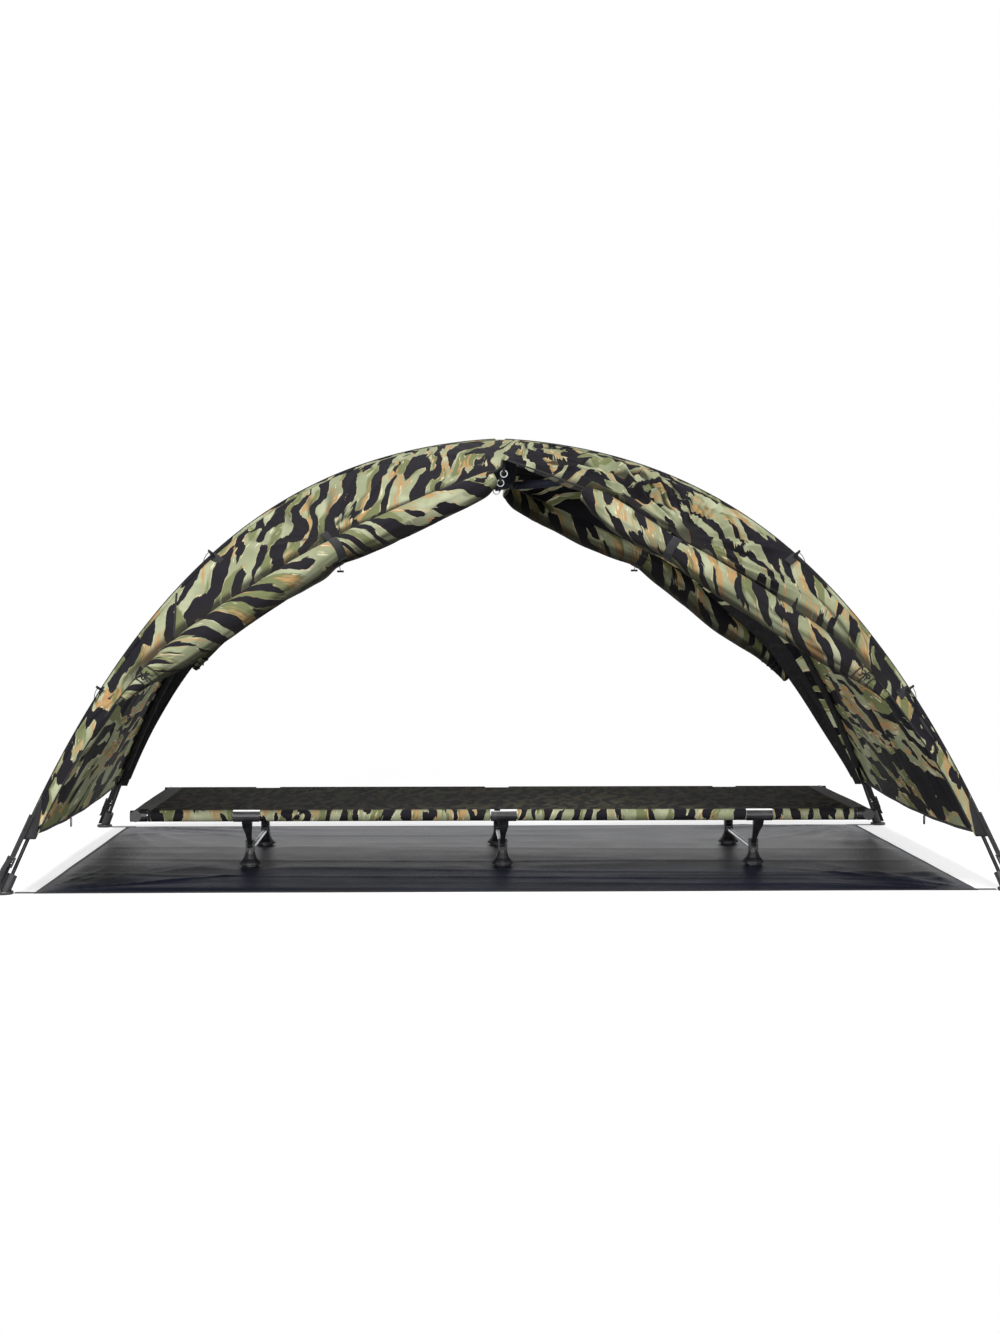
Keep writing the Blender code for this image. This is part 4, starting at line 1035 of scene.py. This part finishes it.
def soften(item, width):
    """Rounds the edges of a moulded or folded piece."""
    edge = item.modifiers.new("edge", "BEVEL")
    edge.width = width
    edge.segments = 2
    edge.limit_method = "ANGLE"
    edge.angle_limit = radians(35)


AXES = (Vector((1, 0, 0)), Vector((0, 1, 0)), Vector((0, 0, 1)))


def block(name, middle, axes, half):
    """Closed box along three directions, as a mesh."""
    signs = [(a, b, c) for a in (-1, 1) for b in (-1, 1) for c in (-1, 1)]
    points = [middle + axes[0] * half[0] * a + axes[1] * half[1] * b + axes[2] * half[2] * c
              for a, b, c in signs]
    faces = [(0, 1, 3, 2), (4, 6, 7, 5), (0, 4, 5, 1), (2, 3, 7, 6), (0, 2, 6, 4), (1, 5, 7, 3)]
    return outward(build_mesh(name, points, faces, [(p.x + p.y, p.z) for p in points],
                              smooth=False))


# Seams, sleeves and trim of the fly

POLE_DROP = 0.0124
SLEEVE_SPAN = (0.040, 0.935)
SLEEVE_TURNS = 14


def pole_at(sx, sy, t):
    return ridge(sx, sy, t) - POLE_DROP * mitre(sx, sy, t)


def build_sleeve(corner, sx, sy):
    """Puckered cloth sleeve round a pole."""
    t0, t1 = SLEEVE_SPAN
    steps = 260
    path = [pole_at(sx, sy, t0 + (t1 - t0) * i / steps) for i in range(steps + 1)]
    rings = []
    run = 0.0
    for i, (point, (a, b, _)) in enumerate(zip(path, frames_along(path))):
        run += (point - path[i - 1]).length if i else 0.0
        ring = []
        for turn in angles(SLEEVE_TURNS):
            gather = wavy(run * 60, cos(turn) * 1.5 + sx, sy * 3 + sin(turn) * 1.5)
            ring.append(point + SLEEVE_R * (0.93 + 0.07 * gather) * round_about(a, b, turn))
        rings.append(ring)
    item = piece("sleeve_" + corner, sweep("sleeve", path, rings), ("sleeve_cloth",))
    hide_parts("pole_sleeve_" + corner)


def ridge_sides(sx, sy, t):
    """Directions down the end panel and down the side panel, square to the ridge."""
    along = (ridge(sx, sy, t + 0.002) - ridge(sx, sy, t - 0.002)).normalized()
    end = end_normal(sx, t).cross(along).normalized()
    if end.y * sy > 0:
        end = -end
    side = side_normal(sy, t).cross(along).normalized()
    if side.x * sx > 0:
        side = -side
    return end, side


PATCH_TOP = 0.925
PANEL_SEAM = (0.808, 0.679, 0.748)
SEAM_REACH = 0.008
SEAM_LIFT = 0.0014


def build_ridge_seam(corner, sx, sy):
    """Seam tape folded over a ridge, with two rows of stitches."""
    steps = 150
    path, rings, outs = [], [], []
    rows = {0.0022: [], 0.0062: []}
    for i in range(steps + 1):
        t = 0.012 + (0.952 - 0.012) * i / steps
        end, side = ridge_sides(sx, sy, t)
        top = ridge(sx, sy, t)
        out = mitre(sx, sy, t).normalized()
        n_end, n_side = end_normal(sx, t), side_normal(sy, t)
        path.append(top)
        rings.append([top + end * SEAM_REACH + n_end * 0.0002,
                      top + end * SEAM_REACH + n_end * SEAM_LIFT * 0.8,
                      top + end * 0.001 + n_end * SEAM_LIFT, top + out * (SEAM_LIFT * 1.25),
                      top + side * 0.001 + n_side * SEAM_LIFT,
                      top + side * SEAM_REACH + n_side * SEAM_LIFT * 0.8,
                      top + side * SEAM_REACH + n_side * 0.0002])
        outs.append(n_side)
        for reach, row in rows.items():
            row.append(top + side * reach + n_side * (SEAM_LIFT + 0.0001))
    piece("ridge_seam_" + corner, sweep("ridge_seam", path, rings), ("camo_front",))
    cord = [p + mitre(sx, sy, 0.012 + 0.940 * i / steps).normalized() * 0.0022
            for i, p in enumerate(path)]
    joined("ridge_cord_" + corner, [round_sweep("cord", cord, 0.0012, 6)], ("binding",))
    for k, row in enumerate(rows.values()):
        stitch_row("ridge_stitches_%s_%d" % (corner, k), row, outs)


def build_crease_piping(corner, sx, sy):
    """Corded edge where a side cloth turns into the rolled door."""
    steps = 140
    path = []
    for i in range(steps + 1):
        t = HOOD_EDGE + 0.012 + (0.950 - HOOD_EDGE - 0.012) * i / steps
        path.append(crease(sx, sy, t) + side_normal(sy, t) * 0.0018)
    piece("crease_piping_" + corner, round_sweep("piping", path, 0.0022, 8), ("binding",))


def build_panel_seam():
    """Dark join across the front left cloth, from the ridge straight down to the door."""
    path, outs = [], []
    for i in range(41):
        t = PANEL_SEAM[1] + (PANEL_SEAM[2] - PANEL_SEAM[1]) * i / 40
        u = (RIDGE_X * t - PANEL_SEAM[0]) / strip_width(-1, -1, t)
        lift = puff(u, strip_width(-1, -1, t))
        lift += side_relief("front_left", -PANEL_SEAM[0], ridge_height(t), u, t)
        path.append(Vector((-PANEL_SEAM[0], -RIDGE_Y * t, ridge_height(t)))
                    + side_normal(-1, t) * (lift + 0.0006))
        outs.append(side_normal(-1, t))
    mesh = tape_sweep("panel_seam", path, [AXES[0]] * len(path), 0.0050, 0.0012)
    piece("panel_seam", mesh, ("binding",))


def build_hem_binding(side, sx):
    """Black tape folded over the lower hem of an end panel."""
    path = [end_surface(sx, HEM_T, 2 * j / END_ACROSS - 1) for j in range(1, END_ACROSS)]
    above = [end_surface(sx, HEM_T - 0.006, 2 * j / END_ACROSS - 1) for j in range(1, END_ACROSS)]
    rings = []
    for p, q in zip(path, above):
        up = (q - p).normalized()
        out = end_normal(sx, HEM_T)
        out = (out - up * up.dot(out)).normalized()
        rings.append([p - up * 0.0004 + out * 0.0006, p + up * 0.0004 + out * 0.0011,
                      p + up * 0.009 + out * 0.0010,
                      p + up * 0.009 - out * 0.0020, p + up * 0.0004 - out * 0.0021,
                      p - up * 0.0004 - out * 0.0014])
    piece("end_hem_" + side, sweep("end_hem", path, rings), ("binding",))


def build_gusset(corner, sx, sy):
    """Black patch that strengthens a lower corner of the fly."""
    rows, columns = 14, 8
    points, uvs = [], []
    for i in range(rows + 1):
        t = PATCH_TOP + (HEM_T - PATCH_TOP + 0.001) * i / rows
        full = strip_width(sx, sy, min(t, HEM_T))
        width = full * (0.12 + 0.86 * (i / rows) ** 0.8)
        for j in range(columns + 1):
            u = j / columns
            x = sx * (RIDGE_X * t - u * width - 0.001)
            base = Vector((x, sy * RIDGE_Y * t, ridge_height(t)))
            bulge = 0.0009 * sin(pi * min(1.0, u * width / full))
            points.append(base + (bulge + 0.0034) * side_normal(sy, t))
            uvs.append((x, t))
    mesh = outward(build_mesh("gusset", points, grid_faces(rows, columns), uvs),
                   facing=lambda faces: sum(f.normal.y * sy for f in faces))
    thicken(piece("corner_patch_" + corner, mesh, ("binding",)), 0.0016)


def ring_path(corner, sx, sy, t, lift, turns=(0.0, 1.0), steps=40):
    """Path round a rolled door, a little above its cloth."""
    path = []
    for k in range(steps + 1):
        a = 2 * pi * (turns[0] + (turns[1] - turns[0]) * k / steps)
        p, middle = roll_point(corner, sx, sy, t, a)
        path.append(p + (p - middle).normalized() * lift)
    return path


def build_tie(corner, sx, sy):
    """Elastic tie round a rolled door: sewn tab and band, and at the back a hanging toggle."""
    along, down = door_frame(sx, sy, TIE_AT)
    out = side_normal(sy, TIE_AT)
    band = ring_path(corner, sx, sy, TIE_AT, 0.0011)[:-1]
    rings = []
    middle = sum(band, Vector()) / len(band)
    half = along * 0.0115
    for p in band:
        thick = (p - middle).normalized() * 0.0007
        rings.append([p - half - thick, p - half + thick, p + half + thick, p + half - thick])
    points = [q for ring in rings for q in ring]
    uvs = [(k * 0.005, i * 0.006) for i in range(len(rings)) for k in range(4)]
    loop = outward(build_mesh("tie", points, ring_faces(len(rings), 4, closed=True), uvs))
    seat = crease(sx, sy, TIE_AT) - down * 0.012 + out * 0.0062
    tab = block("tab", seat, (along, down, out), (0.009, 0.014, 0.0009))
    item = joined("door_tie_" + corner, [loop, tab], ("tape",))
    soften(item, 0.0004)
    if sy < 0:
        return
    hang = max(band, key=lambda q: q.y * sy - q.z * 0.5)
    foot = hang + Vector((0, sy * 0.004, -0.034))
    cord = round_sweep("cord", bend([hang, hang + Vector((0.003 * sx, sy * 0.006, -0.010)), foot]),
                       0.0011, 8)
    barrel = round_sweep("barrel", [foot + AXES[0] * x
                                    for x in (-0.010, -0.008, 0.0, 0.008, 0.010)],
                         [0.0022, 0.0034, 0.0028, 0.0034, 0.0022], 12)
    joined("door_toggle_" + corner, [cord, barrel], ("black_plastic",))


def build_end_knot(corner, sx, sy):
    """Cord wound round the lower end of a rolled door and knotted."""
    meshes = []
    for t in (0.787, 0.795, 0.802):
        band = ring_path(corner, sx, sy, t, 0.0013, (0.0, 0.985), 30)
        meshes.append(round_sweep("winding", band, 0.0016, 8))
    along, down = door_frame(sx, sy, 0.795)
    seat = max(ring_path(corner, sx, sy, 0.795, 0.0030, steps=24),
               key=lambda p: p.dot(side_normal(sy, 0.795)))
    loop = [seat + along * 0.012 * sin(a) + down * 0.008 * cos(a) * sin(a)
            + side_normal(sy, 0.795) * 0.003 * cos(2 * a)
            for a in [2 * pi * i / 28 for i in range(29)]]
    meshes.append(round_sweep("knot", loop, 0.0017, 8))
    for spread in (-1, 1):
        tail = bend([seat, seat + along * 0.006 * spread + down * 0.006,
                     seat + along * 0.009 * spread + down * 0.016])
        meshes.append(round_sweep("tail", tail, 0.0015, 8))
    joined("end_knot_" + corner, meshes, ("tape",))


TAB_AT = (0.607, 0.815)


def build_guy_tab(corner, sx, sy, index, t):
    """Folded grosgrain loop that stands out from a ridge, with a loop of cord through it."""
    here = ridge(sx, sy, t)
    along = (ridge(sx, sy, t + 0.005) - here).normalized()
    out = mitre(sx, sy, t).normalized()
    inward = side_normal(sy, t).cross(along)
    if inward.x * sx > 0:
        inward = -inward
    across = inward * 0.0075
    fold = [(-0.0018, -0.002), (-0.0019, 0.008), (-0.0018, 0.0165), (-0.0010, 0.0189),
            (0.0, 0.0194),
            (0.0010, 0.0189), (0.0018, 0.0165), (0.0019, 0.008), (0.0018, -0.002)]
    path = bend([here + across + along * u + out * v for u, v in fold], 3)
    tape = tape_sweep("tape", path, [inward] * len(path), 0.0118, 0.0012)
    patch = block("patch", here + across + side_normal(sy, t) * 0.0022 + inward * 0.009,
                  (along, inward, side_normal(sy, t)), (0.011, 0.016, 0.0007))
    item = joined("guy_tab_%s_%d" % (corner, index), [tape, patch], ("tape",))
    soften(item, 0.0003)
    eye = here + across + out * 0.0165
    ring = []
    for k in range(25):
        a = 2 * pi * k / 24
        ring.append(eye + along * (0.017 + 0.017 * cos(a)) * 0.9 + inward * 0.0055 * sin(a)
                    - out * 0.010 * (1 + cos(a)) * 0.5)
    joined("guy_loop_%s_%d" % (corner, index), [round_sweep("loop", ring, 0.0009, 6)], ("tape",))


WEB_WIDTH = 0.020
WEB_T = 0.0014
STRAP_TOP = 0.938
STRAP_REACH = 0.0195
BUCKLE_AT = 0.62
BUCKLE = (0.030, 0.026, 0.004, 0.004)
FLANGE_T = 0.008


def frame_mesh(name, seat, axes, width, height, thick, bar):
    """Ladder-lock frame with a raised bar between two slots."""
    across, down, face = axes
    parts = [block(name, seat + down * s * (height - bar) / 2 + face * thick / 2, axes,
                   (width / 2, bar / 2, thick / 2))
             for s in (-1, 1)]
    parts += [block(name, seat + across * s * (width - bar) / 2 + face * thick / 2, axes,
                    (bar / 2, height / 2 - bar, thick / 2)) for s in (-1, 1)]
    parts.append(block(name, seat + face * thick * 0.62, axes,
                       (width / 2 - bar, bar / 2.2, thick * 0.5)))
    return parts


def build_corner_strap(corner, sx, sy):
    """Corner webbing from the fly down to its foot, with its ladder-lock and spare end."""
    foot = pole_at(sx, sy, 0.992)
    way = (pole_at(sx, sy, 0.957) - foot).normalized()
    foot = foot - way * (foot.z / way.z)
    step = mitre(sx, sy, STRAP_TOP)
    top = ridge(sx, sy, STRAP_TOP) + step * (WEB_T / 2 + SEAT)
    flat = Vector((step.x, step.y, 0)).normalized()
    low = foot + flat * STRAP_REACH
    low.z = FLANGE_T + WEB_T
    down = (low - top).normalized()
    across = down.cross(flat).normalized()
    face = across.cross(down).normalized()
    if face.dot(flat) < 0:
        face = -face
    seat = top.lerp(low, BUCKLE_AT)
    upper = [top + down * s for s in (0.0, 0.01, 0.03)]
    upper += [top.lerp(low, 0.45), seat - down * 0.012, seat - down * 0.003 + face * 0.0030,
              seat + face * 0.0052, seat + down * 0.004 + face * 0.0034]
    lower = [seat + down * 0.004, seat + down * 0.020, top.lerp(low, 0.85), low]
    spare = [seat + face * 0.0056 - down * 0.004, seat + face * 0.0075 + down * 0.008,
             seat + face * 0.0095 + down * 0.024, seat + face * 0.0075 + down * 0.040,
             seat + face * 0.0105 + down * 0.052]
    meshes = []
    for line in (upper, lower, spare):
        path = bend(line, 5)
        meshes.append(tape_sweep("web", path, [across] * len(path), WEB_WIDTH * 0.98, WEB_T * 0.9))
    web = joined("corner_webbing_" + corner, meshes, ("tape",))
    lock = joined("ladder_lock_" + corner,
                  frame_mesh("lock", seat - face * WEB_T / 2, (across, down, face), *BUCKLE),
                  ("black_plastic",), smooth=False)
    soften(lock, 0.0008)
    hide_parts("corner_strap_" + corner)


def build_hub_cover():
    """Gathered cloth cup under the pole crossing."""
    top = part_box("hub_cover")[1][2]
    profile = [(0.000, 0.0), (0.018, 0.0), (0.0255, 0.001), (0.034, 0.006), (0.0385, 0.012),
               (0.043, 0.022), (0.0455, 0.035), (0.0458, 0.055), (0.0445, 0.078), (0.039, 0.091),
               (0.030, 0.100), (0.018, 0.1055), (0.008, 0.107), (0.0, 0.104)]
    turns = 72
    points, uvs = [], []
    for radius, drop in profile:
        deep = smoothstep(0.060, 0.105, drop)
        for a in angles(turns):
            pleat = sin(a * 14 + 1.3 * wavy(cos(a) * 2, sin(a) * 2, 91))
            crumple = wavy(cos(a) * 3 + drop * 30, sin(a) * 3, 92)
            r = radius * (0.965 + 0.02 * pleat * (0.3 + 0.7 * deep) + 0.03 * crumple)
            points.append(Vector((r * cos(a), r * sin(a),
                                  top - 0.0003 - drop + 0.002 * deep * pleat)))
            uvs.append((a * 0.045, drop))
    mesh = build_mesh("hub_bag", points, ring_faces(len(profile), turns), uvs)
    item = piece("hub_bag", outward(mesh, 0.00005), ("navy_cloth",))
    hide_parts("hub_cover")


def build_rolled_strap():
    """Strap wound up beside the hub, its outer end showing as a step."""
    low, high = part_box("apex_strap")
    start = Vector((low[0] + 0.0015, high[1] - 0.0095, 0.9993))
    end = Vector((high[0] - 0.0016, low[1] + 0.0095, 1.009))
    shape = ((0.0, 0.006), (0.03, 0.0100), (0.07, 0.0114), (0.45, 0.0122), (0.90, 0.0116),
             (0.97, 0.0098), (1.0, 0.0064))
    steps, turns = 46, 36
    path = [start.lerp(end, i / steps) for i in range(steps + 1)]
    rings = []
    for i, (point, (a, b, _)) in enumerate(zip(path, frames_along(path))):
        radius = float(np.interp(i / steps, *zip(*shape)))
        ring = []
        for k in range(turns):
            turn = 2 * pi * k / turns
            phase = (k / turns + 0.15) % 1.0
            crease_line = 0.03 * wavy(cos(turn) * 2.4, sin(turn) * 2.4 + i * 0.05, 95)
            r = radius * (0.90 + 0.09 * phase + crease_line)
            ring.append(point + r * round_about(a, b, turn))
        rings.append(ring)
    item = piece("wound_strap", sweep("wound_strap", path, rings), ("navy_cloth",))
    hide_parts("apex_strap")


SLIDER_DEPTH = 0.006

# Blocks of a zip slider: place outwards, height, half sizes
SLIDER_BLOCKS = ((-0.0008, 0.0035, (0.0039, 0.0021, 0.0034)),
                 (-0.0008, 0.0103, (0.0032, 0.0021, 0.0034)),
                 (0.0017, 0.0068, (0.0014, 0.0010, 0.0042)))
TOOTH = (0.0016, 0.0011, 0.0007)
TEETH = 27


def build_zip_flap(side, sy):
    """Zip tape below a gable peak, with teeth and two sliders."""
    low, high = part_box("zip_flap_" + side)
    face = low[1] if sy < 0 else high[1]
    cloth_y = face - sy * SLIDER_DEPTH + sy * 0.0003
    middle_y = cloth_y - sy * 0.001
    meshes = []
    for k in (-1, 1):
        path = [Vector((k * 0.0042, middle_y, low[2] + (high[2] - low[2]) * i / 12))
                for i in range(13)]
        meshes.append(tape_sweep("zip_tape", path, [AXES[0]] * 13, 0.0074, 0.0016))
    tape = joined("zip_tape_" + side, meshes, ("binding",))
    teeth = []
    for i in range(TEETH):
        z = low[2] + 0.003 + (high[2] - low[2] - 0.006) * i / (TEETH - 1)
        shift = 0.0007 * (1 if i % 2 else -1)
        teeth.append(block("tooth", Vector((shift, middle_y + sy * 0.0006, z)),
                           AXES, TOOTH))
    joined("zip_teeth_" + side, teeth, ("black_plastic",), smooth=False)
    sliders = []
    for hand, sx in (("left", -1), ("right", 1)):
        eye_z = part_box("zip_pull_%s_%s" % (side, hand))[1][2] - 0.0014
        x = sx * 0.0045
        z0 = eye_z - 0.0056
        y = cloth_y + sy * SLIDER_DEPTH / 2
        for out, up, half in SLIDER_BLOCKS:
            sliders.append(block("slider", Vector((x, y + sy * out, z0 + up)), AXES, half))
    item = joined("zip_sliders_" + side, sliders, ("black_plastic",), smooth=False)
    soften(item, 0.0006)
    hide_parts("zip_flap_" + side)


def build_hem_loop(side):
    """Folded tape that hangs from a hem."""
    low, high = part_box("hem_loop_" + side)
    x = (low[0] + high[0]) / 2
    half = (high[0] - low[0]) / 2 - 0.0007
    shape = [(0.0, high[2] - 0.0007), (half * 0.8, high[2] - 0.0018), (half, high[2] - 0.005),
             (half * 0.9, low[2] + 0.005),
             (half * 0.7, low[2] + 0.0012), (0.0, low[2] + 0.0007), (-half * 0.7, low[2] + 0.0012),
             (-half * 0.9, low[2] + 0.005), (-half, high[2] - 0.005),
             (-half * 0.8, high[2] - 0.0018),
             (0.0, high[2] - 0.0007)]
    path = bend([(x + u, 0, z) for u, z in shape], 3)
    item = joined("peg_loop_" + side,
                  [tape_sweep("peg_loop", path, [AXES[1]] * len(path), 0.0096, 0.0012)],
                  ("tape",), body="hem_loop_" + side)
    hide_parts("hem_loop_" + side)


# Ground sheet and cot cloth

SHEET_X = 1.12
SHEET_Y = 0.745
EDGE_WAVE = 0.0018
SHEET_CLOTH = 0.0011
RAIL_Y = 0.340
RAIL_Z = 0.142
END_X = 0.935
LEG_X = 0.655
FOOT_Y = 0.240


def sheet_lift(x, y):
    """Height of the ground sheet's wrinkles: long folds and corner fans, flat under the feet."""
    long = sharp(x * 0.45 + 3, y * 3.6, 71, 2.0) * 0.0028
    long += sharp(x * 0.5 + y * 0.4, y * 7.5 + x * 0.4, 73, 2.5) * 0.0022
    cross = sharp(x * 2.5, y * 0.6, 75, 4.0) * 0.0006
    fans = 0.0
    for sx, sy in QUARTERS:
        dx, dy = x - sx * SHEET_X, y - sy * SHEET_Y
        r = hypot(dx, dy)
        a = atan2(dy, dx)
        spread = smoothstep(0.03, 0.15, r) * (1 - smoothstep(0.25, 0.75, r))
        fans += spread * 0.0045 * sharp(a * 4.5, r * 0.9, 77 + sx + 2 * sy, 2.0)
    border = min(smoothstep(0.0, 0.05, SHEET_X - abs(x)), smoothstep(0.0, 0.05, SHEET_Y - abs(y)))
    lift = (long + cross + fans) * (0.12 + 0.88 * border)
    for foot_x in (-LEG_X, 0.0, LEG_X):
        for foot_y in (-FOOT_Y, FOOT_Y):
            lift *= smoothstep(0.034, 0.12, hypot(x - foot_x, y - foot_y))
    return 0.0001 + lift


def build_ground_sheet():
    """Ground sheet with a bound edge, and a webbing link to each foot."""
    columns, rows = 210, 130
    points, uvs = [], []
    for i in range(rows + 1):
        for j in range(columns + 1):
            x = SHEET_X * (2 * j / columns - 1)
            y = SHEET_Y * (2 * i / rows - 1)
            wave_x = EDGE_WAVE * wavy(y * 3.5, copysign(2, x), 81)
            wave_x *= smoothstep(0.9, 1.0, abs(x) / SHEET_X)
            wave_y = EDGE_WAVE * wavy(x * 3, copysign(2, y), 82)
            wave_y *= smoothstep(0.9, 1.0, abs(y) / SHEET_Y)
            points.append((x * 0.998 + wave_x, y * 0.998 + wave_y, sheet_lift(x, y)))
            uvs.append((x, y))
    marks = [1 if i in (0, rows - 1) or j in (0, columns - 1) else 0
             for i in range(rows) for j in range(columns)]
    mesh = build_mesh("floor_sheet", points, grid_faces(rows, columns), uvs, marks=marks)
    item = piece("floor_sheet", mesh, ("ground_cloth", "binding"))
    thicken(item, SHEET_CLOTH, 1)
    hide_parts("ground_sheet")
    links = []
    for sx, sy in QUARTERS:
        y = sy * (SHEET_Y - WEB_WIDTH / 2)
        links.append(tape_sweep("link", [Vector((sx * x, y, 0.0016))
                                         for x in (1.090, 1.115, 1.130, 1.1637)],
                                [AXES[1]] * 4, WEB_WIDTH * 0.95, 0.0010))
    tabs = joined("sheet_links", links, ("tape",))


DECK_R = 0.0146
DECK_SAG = 0.0075
DECK_TOP = 0.15
DECK_CLOTH_T = 0.0010
DECK_STITCHES = 0.320
DECK_WRAP = radians(295)
DECK_END = 0.905
DECK_SIDE = 0.310
NOTCH_HALF = 0.0345
NOTCH_Y = 0.318


def wrapped(distance, rail):
    """Where a cloth that runs over a rail has got to: outward place and drop."""
    if distance <= rail:
        return distance, 0.0
    turn = min((distance - rail) / DECK_R, DECK_WRAP)
    return rail + DECK_R * sin(turn), DECK_R * (cos(turn) - 1)


def deck_stations(rail, cut, steps, extra=()):
    """Distances from the middle line of the deck out and round the rail."""
    flat = [rail * i / steps for i in range(steps)] + [cut] + list(extra)
    flat = sorted({round(d, 5) for d in flat})
    wrap = [rail + DECK_R * DECK_WRAP * k / 16 for k in range(17)]
    half = flat + wrap
    return [-d for d in half[:0:-1]] + half


def build_deck():
    """Cot cloth, sleeved round its four rails, cut away at the corners and the leg clips."""
    notches = [abs(x + s * NOTCH_HALF) for x in (0.0, LEG_X) for s in (-1, 1)]
    across = deck_stations(RAIL_Y, DECK_SIDE, 30, (NOTCH_Y,))
    length = deck_stations(END_X, DECK_END, 74, notches)
    points, faces, uvs, marks, kept = [], [], [], [], {}

    def spot(u, v):
        if (u, v) not in kept:
            x, drop_x = wrapped(abs(u), END_X)
            y, drop_y = wrapped(abs(v), RAIL_Y)
            inside = 1 - (min(abs(v), RAIL_Y) / RAIL_Y) ** 2
            sag = DECK_SAG * inside * (1 - (min(abs(u), END_X) / END_X) ** 6)
            ripple = 0.0010 * wavy(u * 11, v * 3, 61) + 0.0016 * sharp(u * 9, v * 2.0, 63, 2.0)
            edge = smoothstep(0.0, 0.05, RAIL_Y - abs(v)) if abs(v) < RAIL_Y else 0.0
            z = RAIL_Z + DECK_R + drop_x + drop_y - sag + ripple * edge * inside
            kept[(u, v)] = len(points)
            points.append((copysign(x, u), copysign(y, v), z))
            uvs.append((u, v))
        return kept[(u, v)]

    def upward(faces):
        return sum(f.normal.z for f in faces if f.calc_center_median().z > DECK_TOP)

    for u0, u1 in zip(length, length[1:]):
        for v0, v1 in zip(across, across[1:]):
            u, v = abs(u0 + u1) / 2, abs(v0 + v1) / 2
            if u > DECK_END and v > DECK_SIDE:
                continue
            at_clip = min(abs(u - x) for x in (0.0, LEG_X)) < NOTCH_HALF
            if at_clip and v > NOTCH_Y:
                continue
            faces.append((spot(u0, v0), spot(u1, v0), spot(u1, v1), spot(u0, v1)))
            # The deck's top faces take the darker copy of the deck cloth: painted shade.
            marks.append(1 if u > END_X - 0.040 else 2 if v < RAIL_Y - 0.002 else 0)
    mesh = build_mesh("deck_cloth", points, faces, uvs, marks=marks)
    outward(mesh, facing=upward)
    item = piece("deck_cloth", mesh, ("camo_deck", "binding", "camo_bed_painted_shade"), "cot")
    thicken(item, DECK_CLOTH_T)
    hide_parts("cot_deck")
    for sy in (-1, 1):
        z = RAIL_Z + DECK_R + 0.0002 - DECK_SAG * (1 - (DECK_STITCHES / RAIL_Y) ** 2)
        line = [Vector((x, sy * DECK_STITCHES, z))
                for x in np.linspace(-DECK_END + 0.03, DECK_END - 0.03, 60)]
        row = stitch_row("deck_stitches_" + ("front" if sy < 0 else "back"), line,
                         [AXES[2]] * len(line))
        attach(row, "cot")


make_camera()
make_floor()
make_light()
build_canopy()
for corner, sx, sy in CORNERS:
    build_roll(corner, sx, sy)
    build_sleeve(corner, sx, sy)
    build_ridge_seam(corner, sx, sy)
    build_crease_piping(corner, sx, sy)
    build_gusset(corner, sx, sy)
    build_tie(corner, sx, sy)
    build_end_knot(corner, sx, sy)
    build_corner_strap(corner, sx, sy)
    for index, t in enumerate(TAB_AT):
        build_guy_tab(corner, sx, sy, index, t)
for side, sx in (("left", -1), ("right", 1)):
    build_hem_binding(side, sx)
    build_hem_loop(side)
build_panel_seam()
build_hub_cover()
build_rolled_strap()
for side, sy in (("front", -1), ("back", 1)):
    build_zip_flap(side, sy)
build_ground_sheet()
build_deck()

KEEP = {"black_tube": "black_tube", "black_plastic": "black_plastic", "bare_metal": "bare_metal",
        "webbing": "tape", "navy_cloth": "navy_cloth", "sheet_cloth": "ground_cloth",
        "camo_cloth": "camo_deck"}
slots = {part["node"]: part["material_slot"] for part in frame["record"]["subparts"]}
for node, item in frame["nodes"].items():
    look = "hook_metal" if node.startswith("zip_pull") else KEEP[slots[node]]
    item.data.materials.clear()
    item.data.materials.append(MATERIALS[look])

bpy.context.scene.view_settings.view_transform = "Standard"
